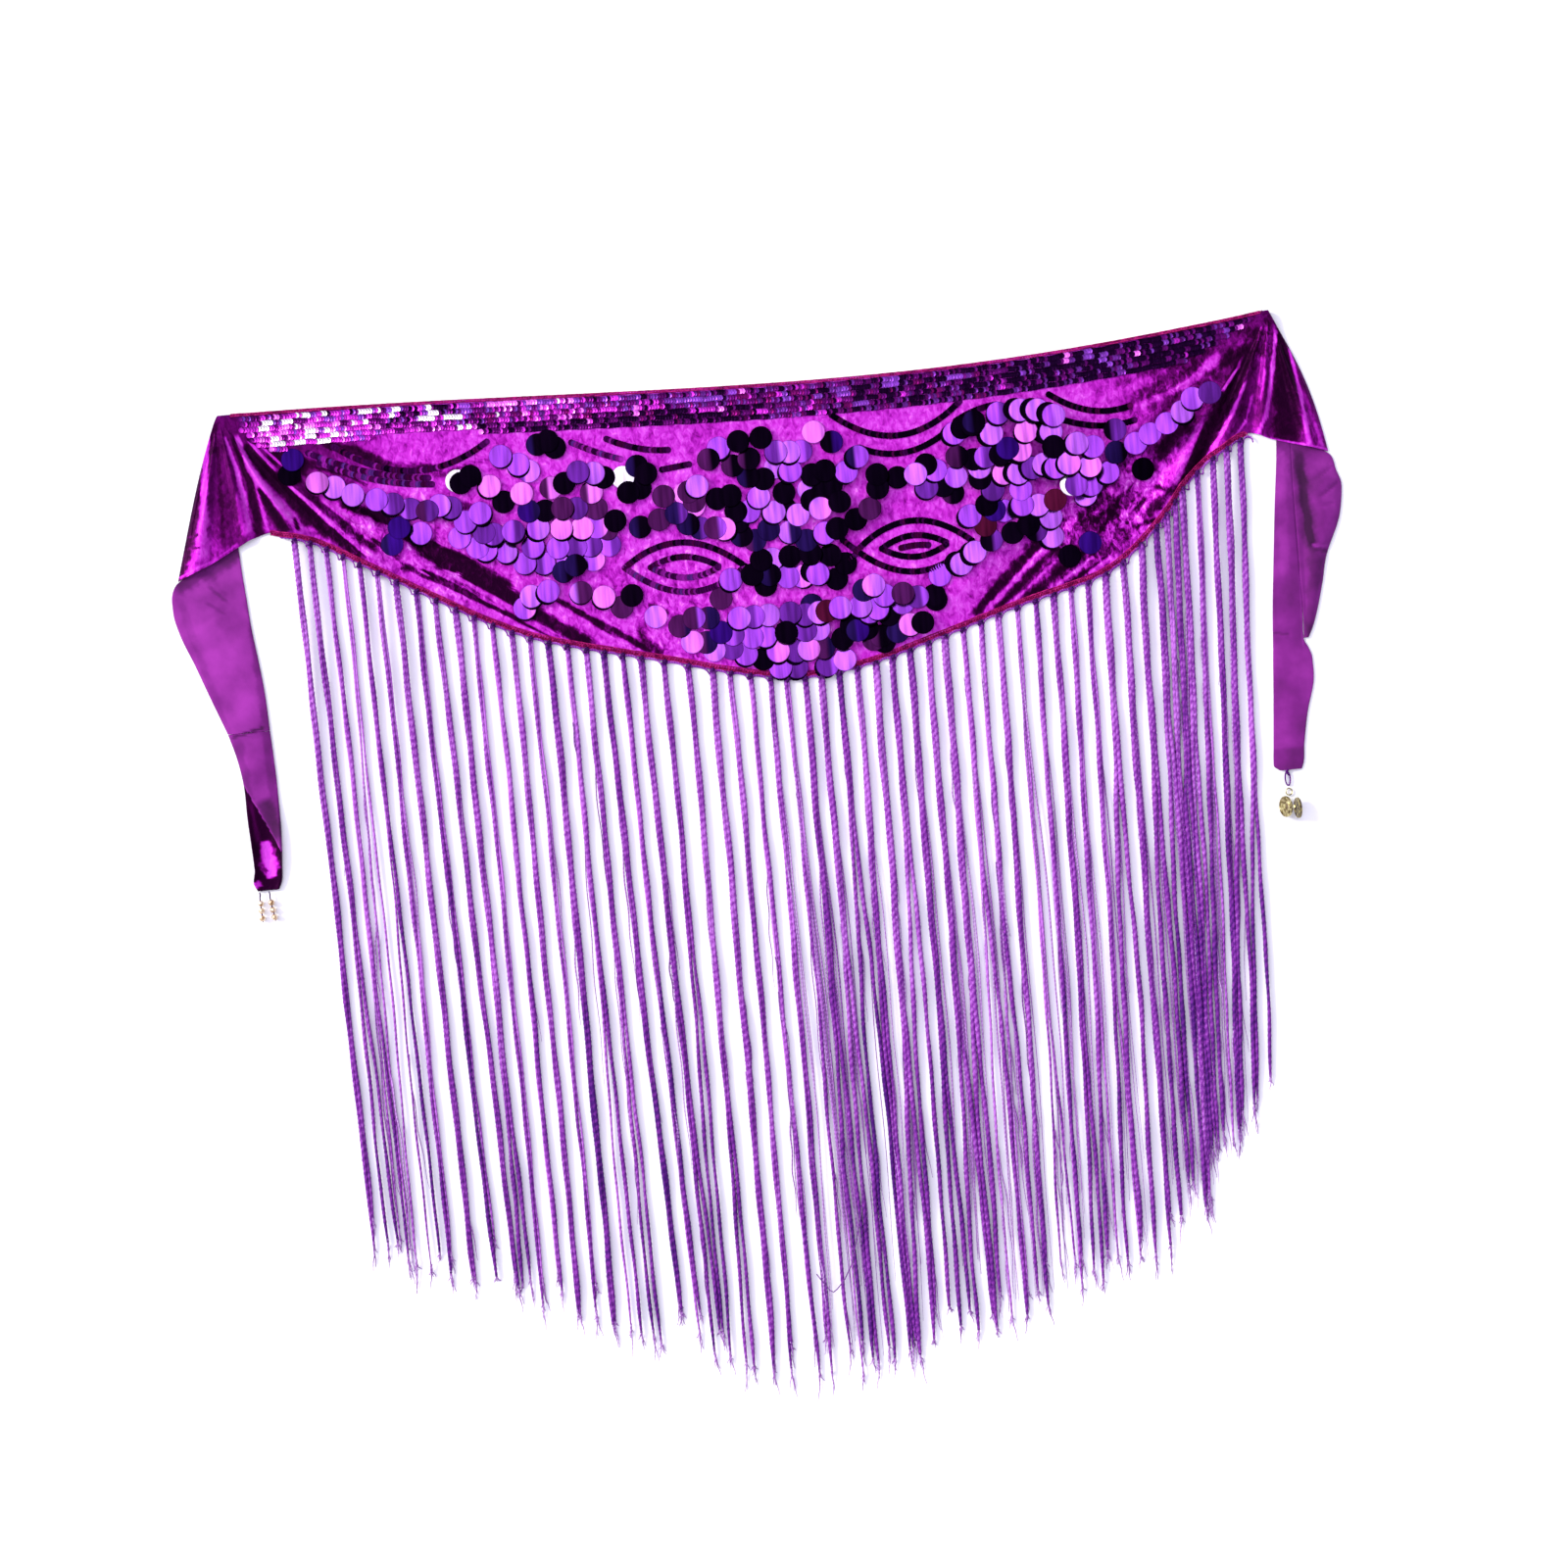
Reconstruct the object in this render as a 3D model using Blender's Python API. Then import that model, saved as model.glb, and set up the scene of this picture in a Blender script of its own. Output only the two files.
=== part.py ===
"""Belly dance hip scarf, laid flat on a surface with its front up.

A crescent of velvet is gathered to its two top corners. A narrow tie runs from each corner,
turned under the corner's wing and brought out below it with the cloth's wrong side up.
A fringe header follows the lower edge and carries long cords of two plies each. Coins hang from
the right tie's end and two strings of beads from the left one's.

Tables are in millimetres on the laid scarf: "across" runs to the right from the left top corner,
"down" runs towards the fringe, and "rise" is a height above the surface.
"""
import math

import bmesh
import bpy
from mathutils import Vector

MM = 0.001

# Whole scarf
SPAN = 800.0            # between the two top corners
MIDDLE_ACROSS = 396.4   # the origin's place on the laid scarf
MIDDLE_DOWN = 390.0
CLOTH = 1.5             # wall of the velvet
SEAM_GAP = 0.3          # between neighbouring pieces

# Front panel
TOP_SAG = 18.75         # of the top edge between the corners
FAN_STEP = 6.5          # column spacing along the hem where the cloth fans from a corner
MIDDLE_STEP = 17.0      # column spacing along the rest of the hem
FAN_REACH = 270.0       # hem length of one fan
PANEL_ROWS = 9
TURN_WIDTH = 4.5        # where a wing's side turns down to the surface
TIE_CLEARANCE = 2.0     # underside of a wing over the tie below it
LIFT_FADE = 8.0         # hem length over which a wing comes down beside its tie
LIFT_START = 12.0       # down from the corner, where the tie below begins to lift the wing
LIFT_FULL = 32.0
BOW_REACH = 60.0        # hem length over which a side's outward bow fades
CORNER_SPREAD = 0.04    # share of the top edge's columns that stays evenly spaced
GATHER_RISE = 4.5       # of the cloth bunched into each corner
GATHER_REACH = 34.0

# Lower edge of the velvet, from the left wing's corner to the right one's: across, down
HEM = (
    (-47.0, 121.5), (-22.5, 112.5), (1.5, 100.5), (15.0, 94.5), (27.0, 91.5), (35.0, 93.4),
    (61.5, 101.0), (99.7, 123.0), (144.7, 150.0), (189.5, 175.5), (233.8, 194.0), (323.6, 218.0),
    (369.0, 230.6), (420.0, 239.5), (471.7, 234.3), (531.0, 218.7), (591.7, 201.3), (650.8, 186.6),
    (680.2, 170.4), (709.4, 143.4), (724.4, 124.6), (743.6, 107.6), (755.3, 100.7), (770.9, 92.1),
    (782.0, 91.0), (795.0, 96.5), (819.0, 104.3), (838.5, 110.3),
)

# Each wing: the corner it fans from, how far its side bows out, and the hem length over the tie
WINGS = {
    "left": {"corner": (-4.0, -1.0), "bow": 3.4, "over_tie": 54.0, "inward": 1.0},
    "right": {"corner": (803.0, -1.0), "bow": 5.5, "over_tie": 42.0, "inward": -1.0},
}

# Folds that run out from a corner: wing, angle inward from straight down and half width in
# degrees, rise, and the distances from the corner where the fold starts and ends
FOLDS = (
    ("left", -13.0, 5.5, 4.0, 12.0, 165.0),
    ("left", 8.0, 5.0, 3.6, 8.0, 150.0),
    ("left", 27.0, 7.0, 5.5, 10.0, 170.0),
    ("left", 40.5, 5.5, 5.0, 34.0, 205.0),
    ("left", 48.5, 3.8, 4.2, 70.0, 260.0),
    ("left", 57.0, 4.4, 3.4, 90.0, 330.0),
    ("right", -12.0, 5.0, 4.0, 16.0, 150.0),
    ("right", 8.5, 5.5, 4.6, 8.0, 140.0),
    ("right", 24.0, 6.0, 5.0, 12.0, 165.0),
    ("right", 34.5, 5.0, 5.2, 50.0, 215.0),
    ("right", 46.5, 5.0, 4.0, 70.0, 290.0),
    ("right", 54.0, 3.6, 3.0, 110.0, 370.0),
)

# Ties, from under the wing to the end: down, left edge across, right edge across
LEFT_TIE = (
    (42.0, -14.5, -1.0), (70.0, -24.8, -0.2), (100.0, -35.4, 1.5), (118.5, -40.4, 2.3),
    (123.8, -48.4, 2.6), (144.0, -53.2, 4.0), (163.0, -49.5, 5.3), (187.0, -40.5, 8.0),
    (214.0, -31.0, 10.5), (242.0, -20.7, 11.5),
)
LEFT_TIE_END = (
    (242.3, -20.6, 11.5), (262.0, -15.6, 12.3), (281.0, -12.8, 12.8), (308.0, -12.4, 12.8),
    (331.0, -11.3, 11.9), (347.0, -10.8, 10.6), (357.0, -12.6, 9.4), (363.5, -10.0, 6.5),
)
RIGHT_TIE = (
    (45.0, 802.0, 809.7), (70.0, 800.5, 809.9), (100.0, 799.5, 810.0), (150.0, 793.2, 808.5),
    (188.0, 788.6, 807.7), (225.0, 784.2, 807.0), (251.0, 781.8, 805.4), (258.0, 781.2, 808.4),
    (266.0, 780.4, 810.6), (283.0, 778.9, 810.0), (307.0, 776.6, 803.0), (331.0, 774.2, 798.0),
    (346.0, 772.9, 795.8), (350.0, 777.5, 794.0),
)
RIGHT_TIE_FOLD = (
    (45.0, 810.1, 820.0), (70.0, 810.3, 826.0), (100.0, 810.5, 830.6), (107.4, 810.4, 832.6),
    (112.8, 810.2, 839.4), (125.0, 809.6, 843.0), (136.0, 809.3, 846.0), (150.0, 808.9, 844.4),
    (162.0, 808.7, 841.5), (190.0, 808.2, 829.0), (210.0, 807.9, 824.0), (241.5, 806.9, 814.0),
    (250.6, 806.1, 809.4),
)
TIE_COLUMNS = 8
TIE_STEP = 12.0         # at most, down a tie

# Fringe
HEADER_WIDTH = 4.0
HEADER_HEIGHT = 1.8
HEADER_MARGIN = 3.5     # beyond the outermost cords
FIRST_CORD = 45.0       # across, at the hem
CORD_RUNS = (           # cords in the run, spacing
    (4, 11.6), (6, 13.8), (9, 13.9), (3, 18.2), (3, 14.6), (3, 13.0), (19, 14.0), (3, 7.6), (4, 11.8),
)
PLY_WIDTH = 2.3
PLY_HEIGHT = 1.9
PLY_GAP = 0.5           # between a cord's two plies at the hem
PLY_STEPS = 5
CORD_LENGTH = 547.0     # the longest, at the left
CORD_SHORTENING = 30.0  # from the left end of the fringe to the right one
CORD_UNEVEN = 34.0      # how much shorter the shortest plies hang
DRIFT = ((0.0, 8.0), (200.0, 3.0), (430.0, -6.0), (620.0, -16.0), (800.0, -31.0))  # across, sideways
CLEAR_OF_FLOOR = 0.3

# Coins on the right tie: centre across and down, tilt in degrees, and the rise of the centre
COIN_RADIUS = 8.0
COIN_THICKNESS = 0.9
COINS = {
    "coin_left": (778.2, 377.6, -60.0, 7.45),
    "coin_right": (787.3, 379.4, 62.0, 7.6),
}

# Beads on the left tie: across at the top and at the bottom of each string
BEAD_RADIUS = 2.3
BEAD_STRINGS = {"beads_left": (-8.6, -8.4), "beads_right": (-1.4, 1.4)}
STRING_TOP = 364.3
FIRST_BEAD = 373.0
BEAD_SPACING = 5.7
BEADS = 3
THREAD_RADIUS = 0.55


def place(across, down, rise):
    """A point of the laid scarf, in metres about its middle."""
    return Vector(((across - MIDDLE_ACROSS) * MM, (MIDDLE_DOWN - down) * MM, rise * MM))


def clamp(value):
    return min(1.0, max(0.0, value))


def ease(value):
    """0 to 1 with level ends."""
    value = clamp(value)
    return value * value * (3.0 - 2.0 * value)


def uneven(seed):
    """A fixed number from 0 to 1 that looks random."""
    wave = math.sin(seed * 12.9898 + 4.1) * 43758.5453
    return wave - math.floor(wave)


def between(table, key, column):
    """A column of a table at a value of its first column, on a smooth curve through the rows."""
    rows = len(table)
    index = 0
    while index < rows - 2 and table[index + 1][0] < key:
        index += 1
    x1, x2 = table[index][0], table[index + 1][0]
    y1, y2 = table[index][column], table[index + 1][column]
    slope = (y2 - y1) / (x2 - x1)
    slopes = []
    for near in (index - 1, index + 1):
        other = max(0, min(rows - 2, near))
        side = (table[other + 1][column] - table[other][column]) / (table[other + 1][0] - table[other][0])
        slopes.append(0.5 * (side + slope) if side * slope > 0.0 else 0.0)
    width = x2 - x1
    t = clamp((key - x1) / width)
    return (y1 * (1 + 2 * t) * (1 - t) ** 2 + slopes[0] * width * t * (1 - t) ** 2
            + y2 * t * t * (3 - 2 * t) + slopes[1] * width * t * t * (t - 1))


class Edge:
    """A smooth line through the points of a table, measured by its length."""

    def __init__(self, points, steps=12):
        self.points = []
        last = len(points) - 1
        for index in range(last):
            before, start = points[max(0, index - 1)], points[index]
            end, after = points[index + 1], points[min(last, index + 2)]
            for step in range(steps):
                self.points.append(self.curve(before, start, end, after, step / steps))
        self.points.append(Vector(points[last]))
        self.lengths = [0.0]
        for start, end in zip(self.points, self.points[1:]):
            self.lengths.append(self.lengths[-1] + (end - start).length)
        self.length = self.lengths[-1]

    @staticmethod
    def curve(before, start, end, after, t):
        before, start, end, after = (Vector(point) for point in (before, start, end, after))
        return 0.5 * (2 * start + (end - before) * t + (2 * before - 5 * start + 4 * end - after) * t * t
                      + (3 * start - before - 3 * end + after) * t ** 3)

    def at(self, distance):
        index = 0
        while index < len(self.lengths) - 2 and self.lengths[index + 1] < distance:
            index += 1
        span = self.lengths[index + 1] - self.lengths[index]
        return self.points[index].lerp(self.points[index + 1], (distance - self.lengths[index]) / span)

    def distance_at(self, across):
        """Length along the edge to where it passes a place across."""
        for index, (start, end) in enumerate(zip(self.points, self.points[1:])):
            if start.x <= across <= end.x:
                part = (across - start.x) / (end.x - start.x)
                return self.lengths[index] + part * (self.lengths[index + 1] - self.lengths[index])
        return self.length

    def outward(self, distance):
        """Unit vector away from the cloth, towards the fringe."""
        along = self.at(min(self.length, distance + 1.0)) - self.at(max(0.0, distance - 1.0))
        return Vector((-along.y, along.x)).normalized()


def material(name, colour, roughness, metallic):
    finish = bpy.data.materials.new(name)
    finish.use_nodes = True
    shader = finish.node_tree.nodes["Principled BSDF"]
    shader.inputs["Base Color"].default_value = (*colour, 1.0)
    shader.inputs["Roughness"].default_value = roughness
    shader.inputs["Metallic"].default_value = metallic
    return finish


def add_object(name, mesh_builder, finish, smooth=True):
    bmesh.ops.recalc_face_normals(mesh_builder, faces=mesh_builder.faces)
    mesh = bpy.data.meshes.new(name)
    mesh_builder.to_mesh(mesh)
    mesh_builder.free()
    mesh.materials.append(finish)
    if smooth:
        mesh.shade_smooth()
        mesh.set_sharp_from_angle(angle=math.radians(40.0))
    piece = bpy.data.objects.new(name, mesh)
    bpy.context.collection.objects.link(piece)
    return piece


def cloth_wall(name, rows, finish):
    """A wall of cloth from rows of (across, down, rise) on its underside."""
    builder = bmesh.new()
    grid = [[builder.verts.new(place(*point)) for point in row] for row in rows]
    for upper, lower in zip(grid, grid[1:]):
        for index in range(len(upper) - 1):
            builder.faces.new((upper[index], lower[index], lower[index + 1], upper[index + 1]))
    raised = bmesh.ops.extrude_face_region(builder, geom=builder.faces[:])["geom"]
    upper_side = [item for item in raised if isinstance(item, bmesh.types.BMVert)]
    bmesh.ops.translate(builder, vec=(0.0, 0.0, CLOTH * MM), verts=upper_side)
    return add_object(name, builder, finish)


def fold_rise(across, down):
    """Height of the folds and of the gathered corners."""
    rise = 0.0
    for wing, angle, half_width, height, start, end in FOLDS:
        corner_across, corner_down = WINGS[wing]["corner"]
        inward = (across - corner_across) * WINGS[wing]["inward"]
        reach = math.hypot(inward, down - corner_down)
        turn = math.degrees(math.atan2(inward, down - corner_down)) - angle
        if abs(turn) < half_width and start < reach < end:
            ridge = math.cos(0.5 * math.pi * turn / half_width) ** 2
            rise += height * ridge * math.sin(math.pi * ((reach - start) / (end - start)) ** 0.8)
    for wing in WINGS.values():
        reach = math.dist((across, down), wing["corner"])
        rise += GATHER_RISE * (1.0 - ease(reach / GATHER_REACH))
    return rise


def tie_lift(from_side, over_tie, down):
    """Lift of a wing over its tie, by the hem length from the wing's side."""
    across_lift = clamp(from_side / TURN_WIDTH) * clamp((over_tie + LIFT_FADE - from_side) / LIFT_FADE)
    return TIE_CLEARANCE * across_lift * clamp((down - LIFT_START) / (LIFT_FULL - LIFT_START))


def hem_stations(hem):
    """Places along the hem where the panel has a column, close together in the fans."""
    fan = [TURN_WIDTH]
    while fan[-1] < FAN_REACH:
        fan.append(fan[-1] + FAN_STEP)
    middle_length = hem.length - 2.0 * fan[-1]
    columns = round(middle_length / MIDDLE_STEP)
    middle = [fan[-1] + middle_length * step / columns for step in range(1, columns)]
    mirrored = [hem.length - station for station in reversed(fan)]
    return [0.0] + fan + middle + mirrored + [hem.length]


def top_point(share):
    """The top edge at a share of the hem's length: crowded into the corners."""
    half = min(share, 1.0 - share) * 2.0
    inward = 0.5 * SPAN * ((1.0 - CORNER_SPREAD) * half ** 4 + CORNER_SPREAD * half)
    left, corner_down = WINGS["left"]["corner"]
    right = WINGS["right"]["corner"][0]
    across = left + inward * (right - left) / SPAN
    if share > 0.5:
        across = right - (across - left)
    sag = TOP_SAG * math.sin(math.pi * clamp(across / SPAN) ** 1.5)
    return Vector((across, corner_down + sag))


def make_panel(hem, finish):
    stations = hem_stations(hem)
    rows = []
    for row in range(PANEL_ROWS + 1):
        v = row / PANEL_ROWS
        points = []
        for station in stations:
            from_right = hem.length - station
            spot = top_point(station / hem.length).lerp(hem.at(station), v)
            spot.x -= WINGS["left"]["bow"] * math.sin(math.pi * v ** 0.6) * clamp(1.0 - station / BOW_REACH)
            spot.x += WINGS["right"]["bow"] * math.sin(math.pi * v) * clamp(1.0 - from_right / BOW_REACH)
            lift = tie_lift(station, WINGS["left"]["over_tie"], spot.y)
            lift += tie_lift(from_right, WINGS["right"]["over_tie"], spot.y)
            points.append((spot.x, spot.y, lift + fold_rise(spot.x, spot.y)))
        rows.append(points)
    return cloth_wall("front_panel", rows, finish)


def ribbon_rows(table):
    """Places down a ribbon: every row of its table, and even steps between them."""
    places = [table[0][0]]
    for upper, lower in zip(table, table[1:]):
        steps = math.ceil((lower[0] - upper[0]) / TIE_STEP)
        places += [upper[0] + (lower[0] - upper[0]) * step / steps for step in range(1, steps + 1)]
    return places


def make_ribbon(name, table, rise, finish):
    """A stretch of tie from its table of edges, with the rise of its underside as a function."""
    grid = []
    for down in ribbon_rows(table):
        left, right = between(table, down, 1), between(table, down, 2)
        points = []
        for column in range(TIE_COLUMNS + 1):
            part = column / TIE_COLUMNS
            points.append((left + (right - left) * part, down, rise(part, down)))
        grid.append(points)
    return cloth_wall(name, grid, finish)


def left_tie_rise(part, down):
    return 2.6 * math.sin(math.pi * part ** 0.8) * ease((down - 124.0) / 40.0)


def left_end_rise(part, down):
    """The tie's crown fades into a trough with raised sides at the very end."""
    crown = left_tie_rise(part, down) * (1.0 - ease((down - 270.0) / 50.0))
    trough = 5.0 * abs(2.0 * part - 1.0) ** 2.2
    return crown + trough * ease((down - 285.0) / 45.0) * (1.0 - 0.6 * ease((down - 340.0) / 24.0))


def right_tie_rise(part, down):
    return 1.1 * math.sin(math.pi * part) * ease((down - 105.0) / 40.0)


def right_fold_rise(part, down):
    """A trough beside the tie and a loose roll towards the outer side."""
    roll = math.sin(math.pi * clamp((part - 0.2) / 0.8) ** 0.9)
    return 4.2 * roll * ease((down - 112.0) / 26.0) * (1.0 - ease((down - 170.0) / 90.0) * 0.85)


def cord_places():
    """Where each cord meets the hem, across."""
    places = [FIRST_CORD]
    for count, spacing in CORD_RUNS:
        for _ in range(count):
            step = spacing + 1.6 * (uneven(len(places)) - 0.5)
            places.append(places[-1] + step)
    return places


def ply_places(cords, depth):
    """Where each ply is at a depth from 0 at the hem to 1 at its end, in order and apart."""
    apart = 0.5 * (PLY_WIDTH + PLY_GAP)
    places = []
    for index, across in enumerate(cords):
        drift = between(DRIFT, across, 1) * depth
        bunch = 5.0 * math.sin(across * 0.047 + 0.8) * depth ** 1.5
        for side in (-1.0, 1.0):
            stray = 5.5 * (uneven(index * 2.0 + side * 0.31) - 0.5) * depth ** 1.3
            opening = side * (apart + 0.9 * depth)
            wanted = across + drift + bunch + stray + opening
            least = places[-1] + PLY_WIDTH + 0.45 if places else wanted
            places.append(max(wanted, least))
    return places


def ply_section(across, down, rise, taper):
    """Four corners of a ply: wider below than above."""
    half, height = 0.5 * PLY_WIDTH * taper, PLY_HEIGHT * taper
    return [place(across - half, down, rise), place(across + half, down, rise),
            place(across + 0.6 * half, down, rise + height), place(across - 0.6 * half, down, rise + height)]


def header_ring(builder, hem, distance):
    """The header's section at a place along the hem: inner low, outer low, outer high, inner high."""
    middle, out = hem.at(distance), hem.outward(distance)
    inner = middle + out * SEAM_GAP
    outer = middle + out * (SEAM_GAP + HEADER_WIDTH)
    low = fold_rise(middle.x, middle.y)
    corners = ((inner, low), (outer, low), (outer, low + HEADER_HEIGHT), (inner, low + HEADER_HEIGHT))
    return [builder.verts.new(place(spot.x, spot.y, rise)) for spot, rise in corners]


def make_fringe(hem, finish):
    """The header strip, with every ply grown from a face on its outer side."""
    builder = bmesh.new()
    cords = cord_places()
    levels = [ply_places(cords, (step / PLY_STEPS)) for step in range(PLY_STEPS + 1)]
    half = 0.5 * PLY_WIDTH
    distances = [hem.distance_at(levels[0][0] - half - HEADER_MARGIN)]
    for across in levels[0]:
        distances += [hem.distance_at(across - half), hem.distance_at(across + half)]
    distances.append(hem.distance_at(levels[0][-1] + half + HEADER_MARGIN))
    rings = [header_ring(builder, hem, distance) for distance in distances]
    for index, (start, end) in enumerate(zip(rings, rings[1:])):
        sides = [(0, 1), (2, 3), (3, 0)] + ([(1, 2)] if index % 2 == 0 else [])
        for first, second in sides:
            builder.faces.new((start[first], end[first], end[second], start[second]))
    builder.faces.new(rings[0])
    builder.faces.new(rings[-1])
    for ply, across in enumerate(levels[0]):
        start, end = rings[2 * ply + 1], rings[2 * ply + 2]
        grow_ply(builder, [start[1], end[1], end[2], start[2]], levels, ply, hem)
    return add_object("fringe", builder, finish, smooth=False)


def grow_ply(builder, root, levels, ply, hem):
    """One ply of a cord, from its root's four corners to its end."""
    across = levels[0][ply]
    start = hem.at(hem.distance_at(across)).y + HEADER_WIDTH + 2.5
    length = CORD_LENGTH - CORD_SHORTENING * across / SPAN - CORD_UNEVEN * uneven(ply + 0.5) ** 1.6
    root_rise = fold_rise(across, start)
    ring = root
    for step in range(PLY_STEPS + 1):
        depth = step / PLY_STEPS
        rise = CLEAR_OF_FLOOR + root_rise * (1.0 - ease(depth * 2.5))
        taper = 1.0 if step < PLY_STEPS else 0.7
        corners = ply_section(levels[step][ply], start + length * depth, rise, taper)
        following = [builder.verts.new(corner) for corner in corners]
        for index in range(4):
            other = (index + 1) % 4
            builder.faces.new((ring[index], ring[other], following[other], following[index]))
        ring = following
    builder.faces.new(ring)


def make_coin(name, across, down, tilt, rise, finish):
    """A thin round coin leaning on its edge beside the other one."""
    bpy.ops.mesh.primitive_cylinder_add(vertices=24, radius=COIN_RADIUS * MM, depth=COIN_THICKNESS * MM,
                                        location=place(across, down, rise),
                                        rotation=(0.0, math.radians(tilt), 0.0))
    coin = bpy.context.object
    coin.name = name
    coin.data.name = name
    coin.data.materials.append(finish)
    return coin


def make_loop(name, across, down, half_width, half_length, wire, finish):
    """A closed loop of wire or thread, lying flat."""
    sides, around = 5, 14
    builder = bmesh.new()
    rings = []
    for index in range(around):
        angle = 2.0 * math.pi * index / around
        ring = []
        for side in range(sides):
            turn = 2.0 * math.pi * side / sides
            out = wire * math.cos(turn)
            spot = place(across + (half_width + out) * math.cos(angle),
                         down + (half_length + out) * math.sin(angle),
                         CLEAR_OF_FLOOR + wire + wire * math.sin(turn))
            ring.append(builder.verts.new(spot))
        rings.append(ring)
    for index in range(around):
        start, end = rings[index], rings[(index + 1) % around]
        for side in range(sides):
            other = (side + 1) % sides
            builder.faces.new((start[side], end[side], end[other], start[other]))
    return add_object(name, builder, finish)


def bead_profile():
    """Down and radius of a bead string: a thread that swells into each bead."""
    profile = [(STRING_TOP, THREAD_RADIUS), (FIRST_BEAD - BEAD_RADIUS - 0.2, THREAD_RADIUS)]
    for bead in range(BEADS):
        middle = FIRST_BEAD + bead * BEAD_SPACING
        for angle in (-65.0, -38.0, 0.0, 38.0, 65.0):
            turn = math.radians(angle)
            profile.append((middle + BEAD_RADIUS * math.sin(turn), BEAD_RADIUS * math.cos(turn)))
        profile.append((middle + BEAD_RADIUS + 0.35, THREAD_RADIUS))
    return profile


def make_bead_string(name, top, bottom, finish):
    """Beads on a thread, turned as one solid about the string's own line."""
    sides = 10
    builder = bmesh.new()
    rings = []
    profile = bead_profile()
    for down, radius in profile:
        part = (down - STRING_TOP) / (profile[-1][0] - STRING_TOP)
        across = top + (bottom - top) * part
        ring = []
        for side in range(sides):
            turn = 2.0 * math.pi * side / sides
            rise = CLEAR_OF_FLOOR + BEAD_RADIUS + radius * math.sin(turn)
            ring.append(builder.verts.new(place(across + radius * math.cos(turn), down, rise)))
        rings.append(ring)
    for start, end in zip(rings, rings[1:]):
        for side in range(sides):
            other = (side + 1) % sides
            builder.faces.new((start[side], start[other], end[other], end[side]))
    builder.faces.new(rings[0])
    builder.faces.new(rings[-1])
    return add_object(name, builder, finish)


for leftover in list(bpy.data.objects):
    bpy.data.objects.remove(leftover, do_unlink=True)

velvet = material("foil_velvet", (0.46, 0.03, 0.50), 0.35, 0.3)
velvet_back = material("velvet_back", (0.34, 0.05, 0.36), 0.75, 0.0)
cord_yarn = material("cord_yarn", (0.24, 0.06, 0.44), 0.8, 0.0)
brass = material("brass", (0.55, 0.45, 0.18), 0.35, 1.0)
thread = material("thread", (0.20, 0.04, 0.30), 0.8, 0.0)

hem_edge = Edge(HEM)
make_panel(hem_edge, velvet)
make_ribbon("tie_left", LEFT_TIE, left_tie_rise, velvet_back)
make_ribbon("tie_left_end", LEFT_TIE_END, left_end_rise, velvet_back)
make_ribbon("tie_right", RIGHT_TIE, right_tie_rise, velvet_back)
make_ribbon("tie_right_fold", RIGHT_TIE_FOLD, right_fold_rise, velvet_back)
make_fringe(hem_edge, cord_yarn)
make_loop("thread_loop", 782.5, 356.6, 1.9, 5.2, 0.6, thread)
make_loop("coin_ring", 782.5, 366.6, 2.4, 2.6, 0.45, brass)
for coin_name, (coin_across, coin_down, coin_tilt, coin_rise) in COINS.items():
    make_coin(coin_name, coin_across, coin_down, coin_tilt, coin_rise, brass)
for string_name, (string_top, string_bottom) in BEAD_STRINGS.items():
    make_bead_string(string_name, string_top, string_bottom, brass)
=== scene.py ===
import math

import bpy
import numpy as np
from mathutils import Matrix, Vector
from mathutils.bvhtree import BVHTree


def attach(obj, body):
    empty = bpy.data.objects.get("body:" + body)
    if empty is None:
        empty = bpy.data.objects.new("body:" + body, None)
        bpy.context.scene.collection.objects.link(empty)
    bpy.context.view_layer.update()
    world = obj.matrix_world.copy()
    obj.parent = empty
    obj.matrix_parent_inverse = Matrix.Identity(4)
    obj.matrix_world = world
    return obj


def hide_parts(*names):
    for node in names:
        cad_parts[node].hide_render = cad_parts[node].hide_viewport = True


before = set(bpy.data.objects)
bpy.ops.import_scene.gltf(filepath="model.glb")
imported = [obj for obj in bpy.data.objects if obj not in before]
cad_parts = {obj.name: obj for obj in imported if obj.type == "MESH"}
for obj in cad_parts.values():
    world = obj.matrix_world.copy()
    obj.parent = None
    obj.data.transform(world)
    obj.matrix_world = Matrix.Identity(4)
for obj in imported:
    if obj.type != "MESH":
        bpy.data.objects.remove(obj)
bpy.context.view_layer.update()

# --- Studio -----------------------------------------------------------------------------------
# A pale floor under soft light from above and from the left, which leaves the sides darker so
# that folds and foil read. The camera looks straight down, turned so that the right corner is
# the higher one.

VIEW_WIDTH = 1.2            # metres of floor across the picture
LENS, SENSOR = 85.0, 36.0
VIEW_CENTRE = (0.0023, 0.0679)
VIEW_TURN = -5.753          # degrees
FLOOR_SIZE = 8.0


def select_none():
    """Leaves no object selected, for an operator that works on all that are."""
    for other in list(bpy.context.selected_objects):
        other.select_set(False)


select_none()

camera_data = bpy.data.cameras.new("camera")
camera_data.lens = LENS
camera_data.sensor_width = SENSOR
camera = bpy.data.objects.new("camera", camera_data)
camera.location = (*VIEW_CENTRE, VIEW_WIDTH * LENS / SENSOR)
camera.rotation_euler = (0.0, 0.0, math.radians(VIEW_TURN))
bpy.context.scene.collection.objects.link(camera)
bpy.context.scene.camera = camera
bpy.context.scene.view_settings.view_transform = "Standard"
bpy.context.scene.view_settings.exposure = 0.35


def srgb(red, green, blue):
    """A colour given in 0 to 255 screen values, as the linear values that a shader takes."""
    linear = []
    for value in (red, green, blue):
        value /= 255.0
        linear.append(value / 12.92 if value <= 0.04045 else ((value + 0.055) / 1.055) ** 2.4)
    return (*linear, 1.0)


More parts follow.
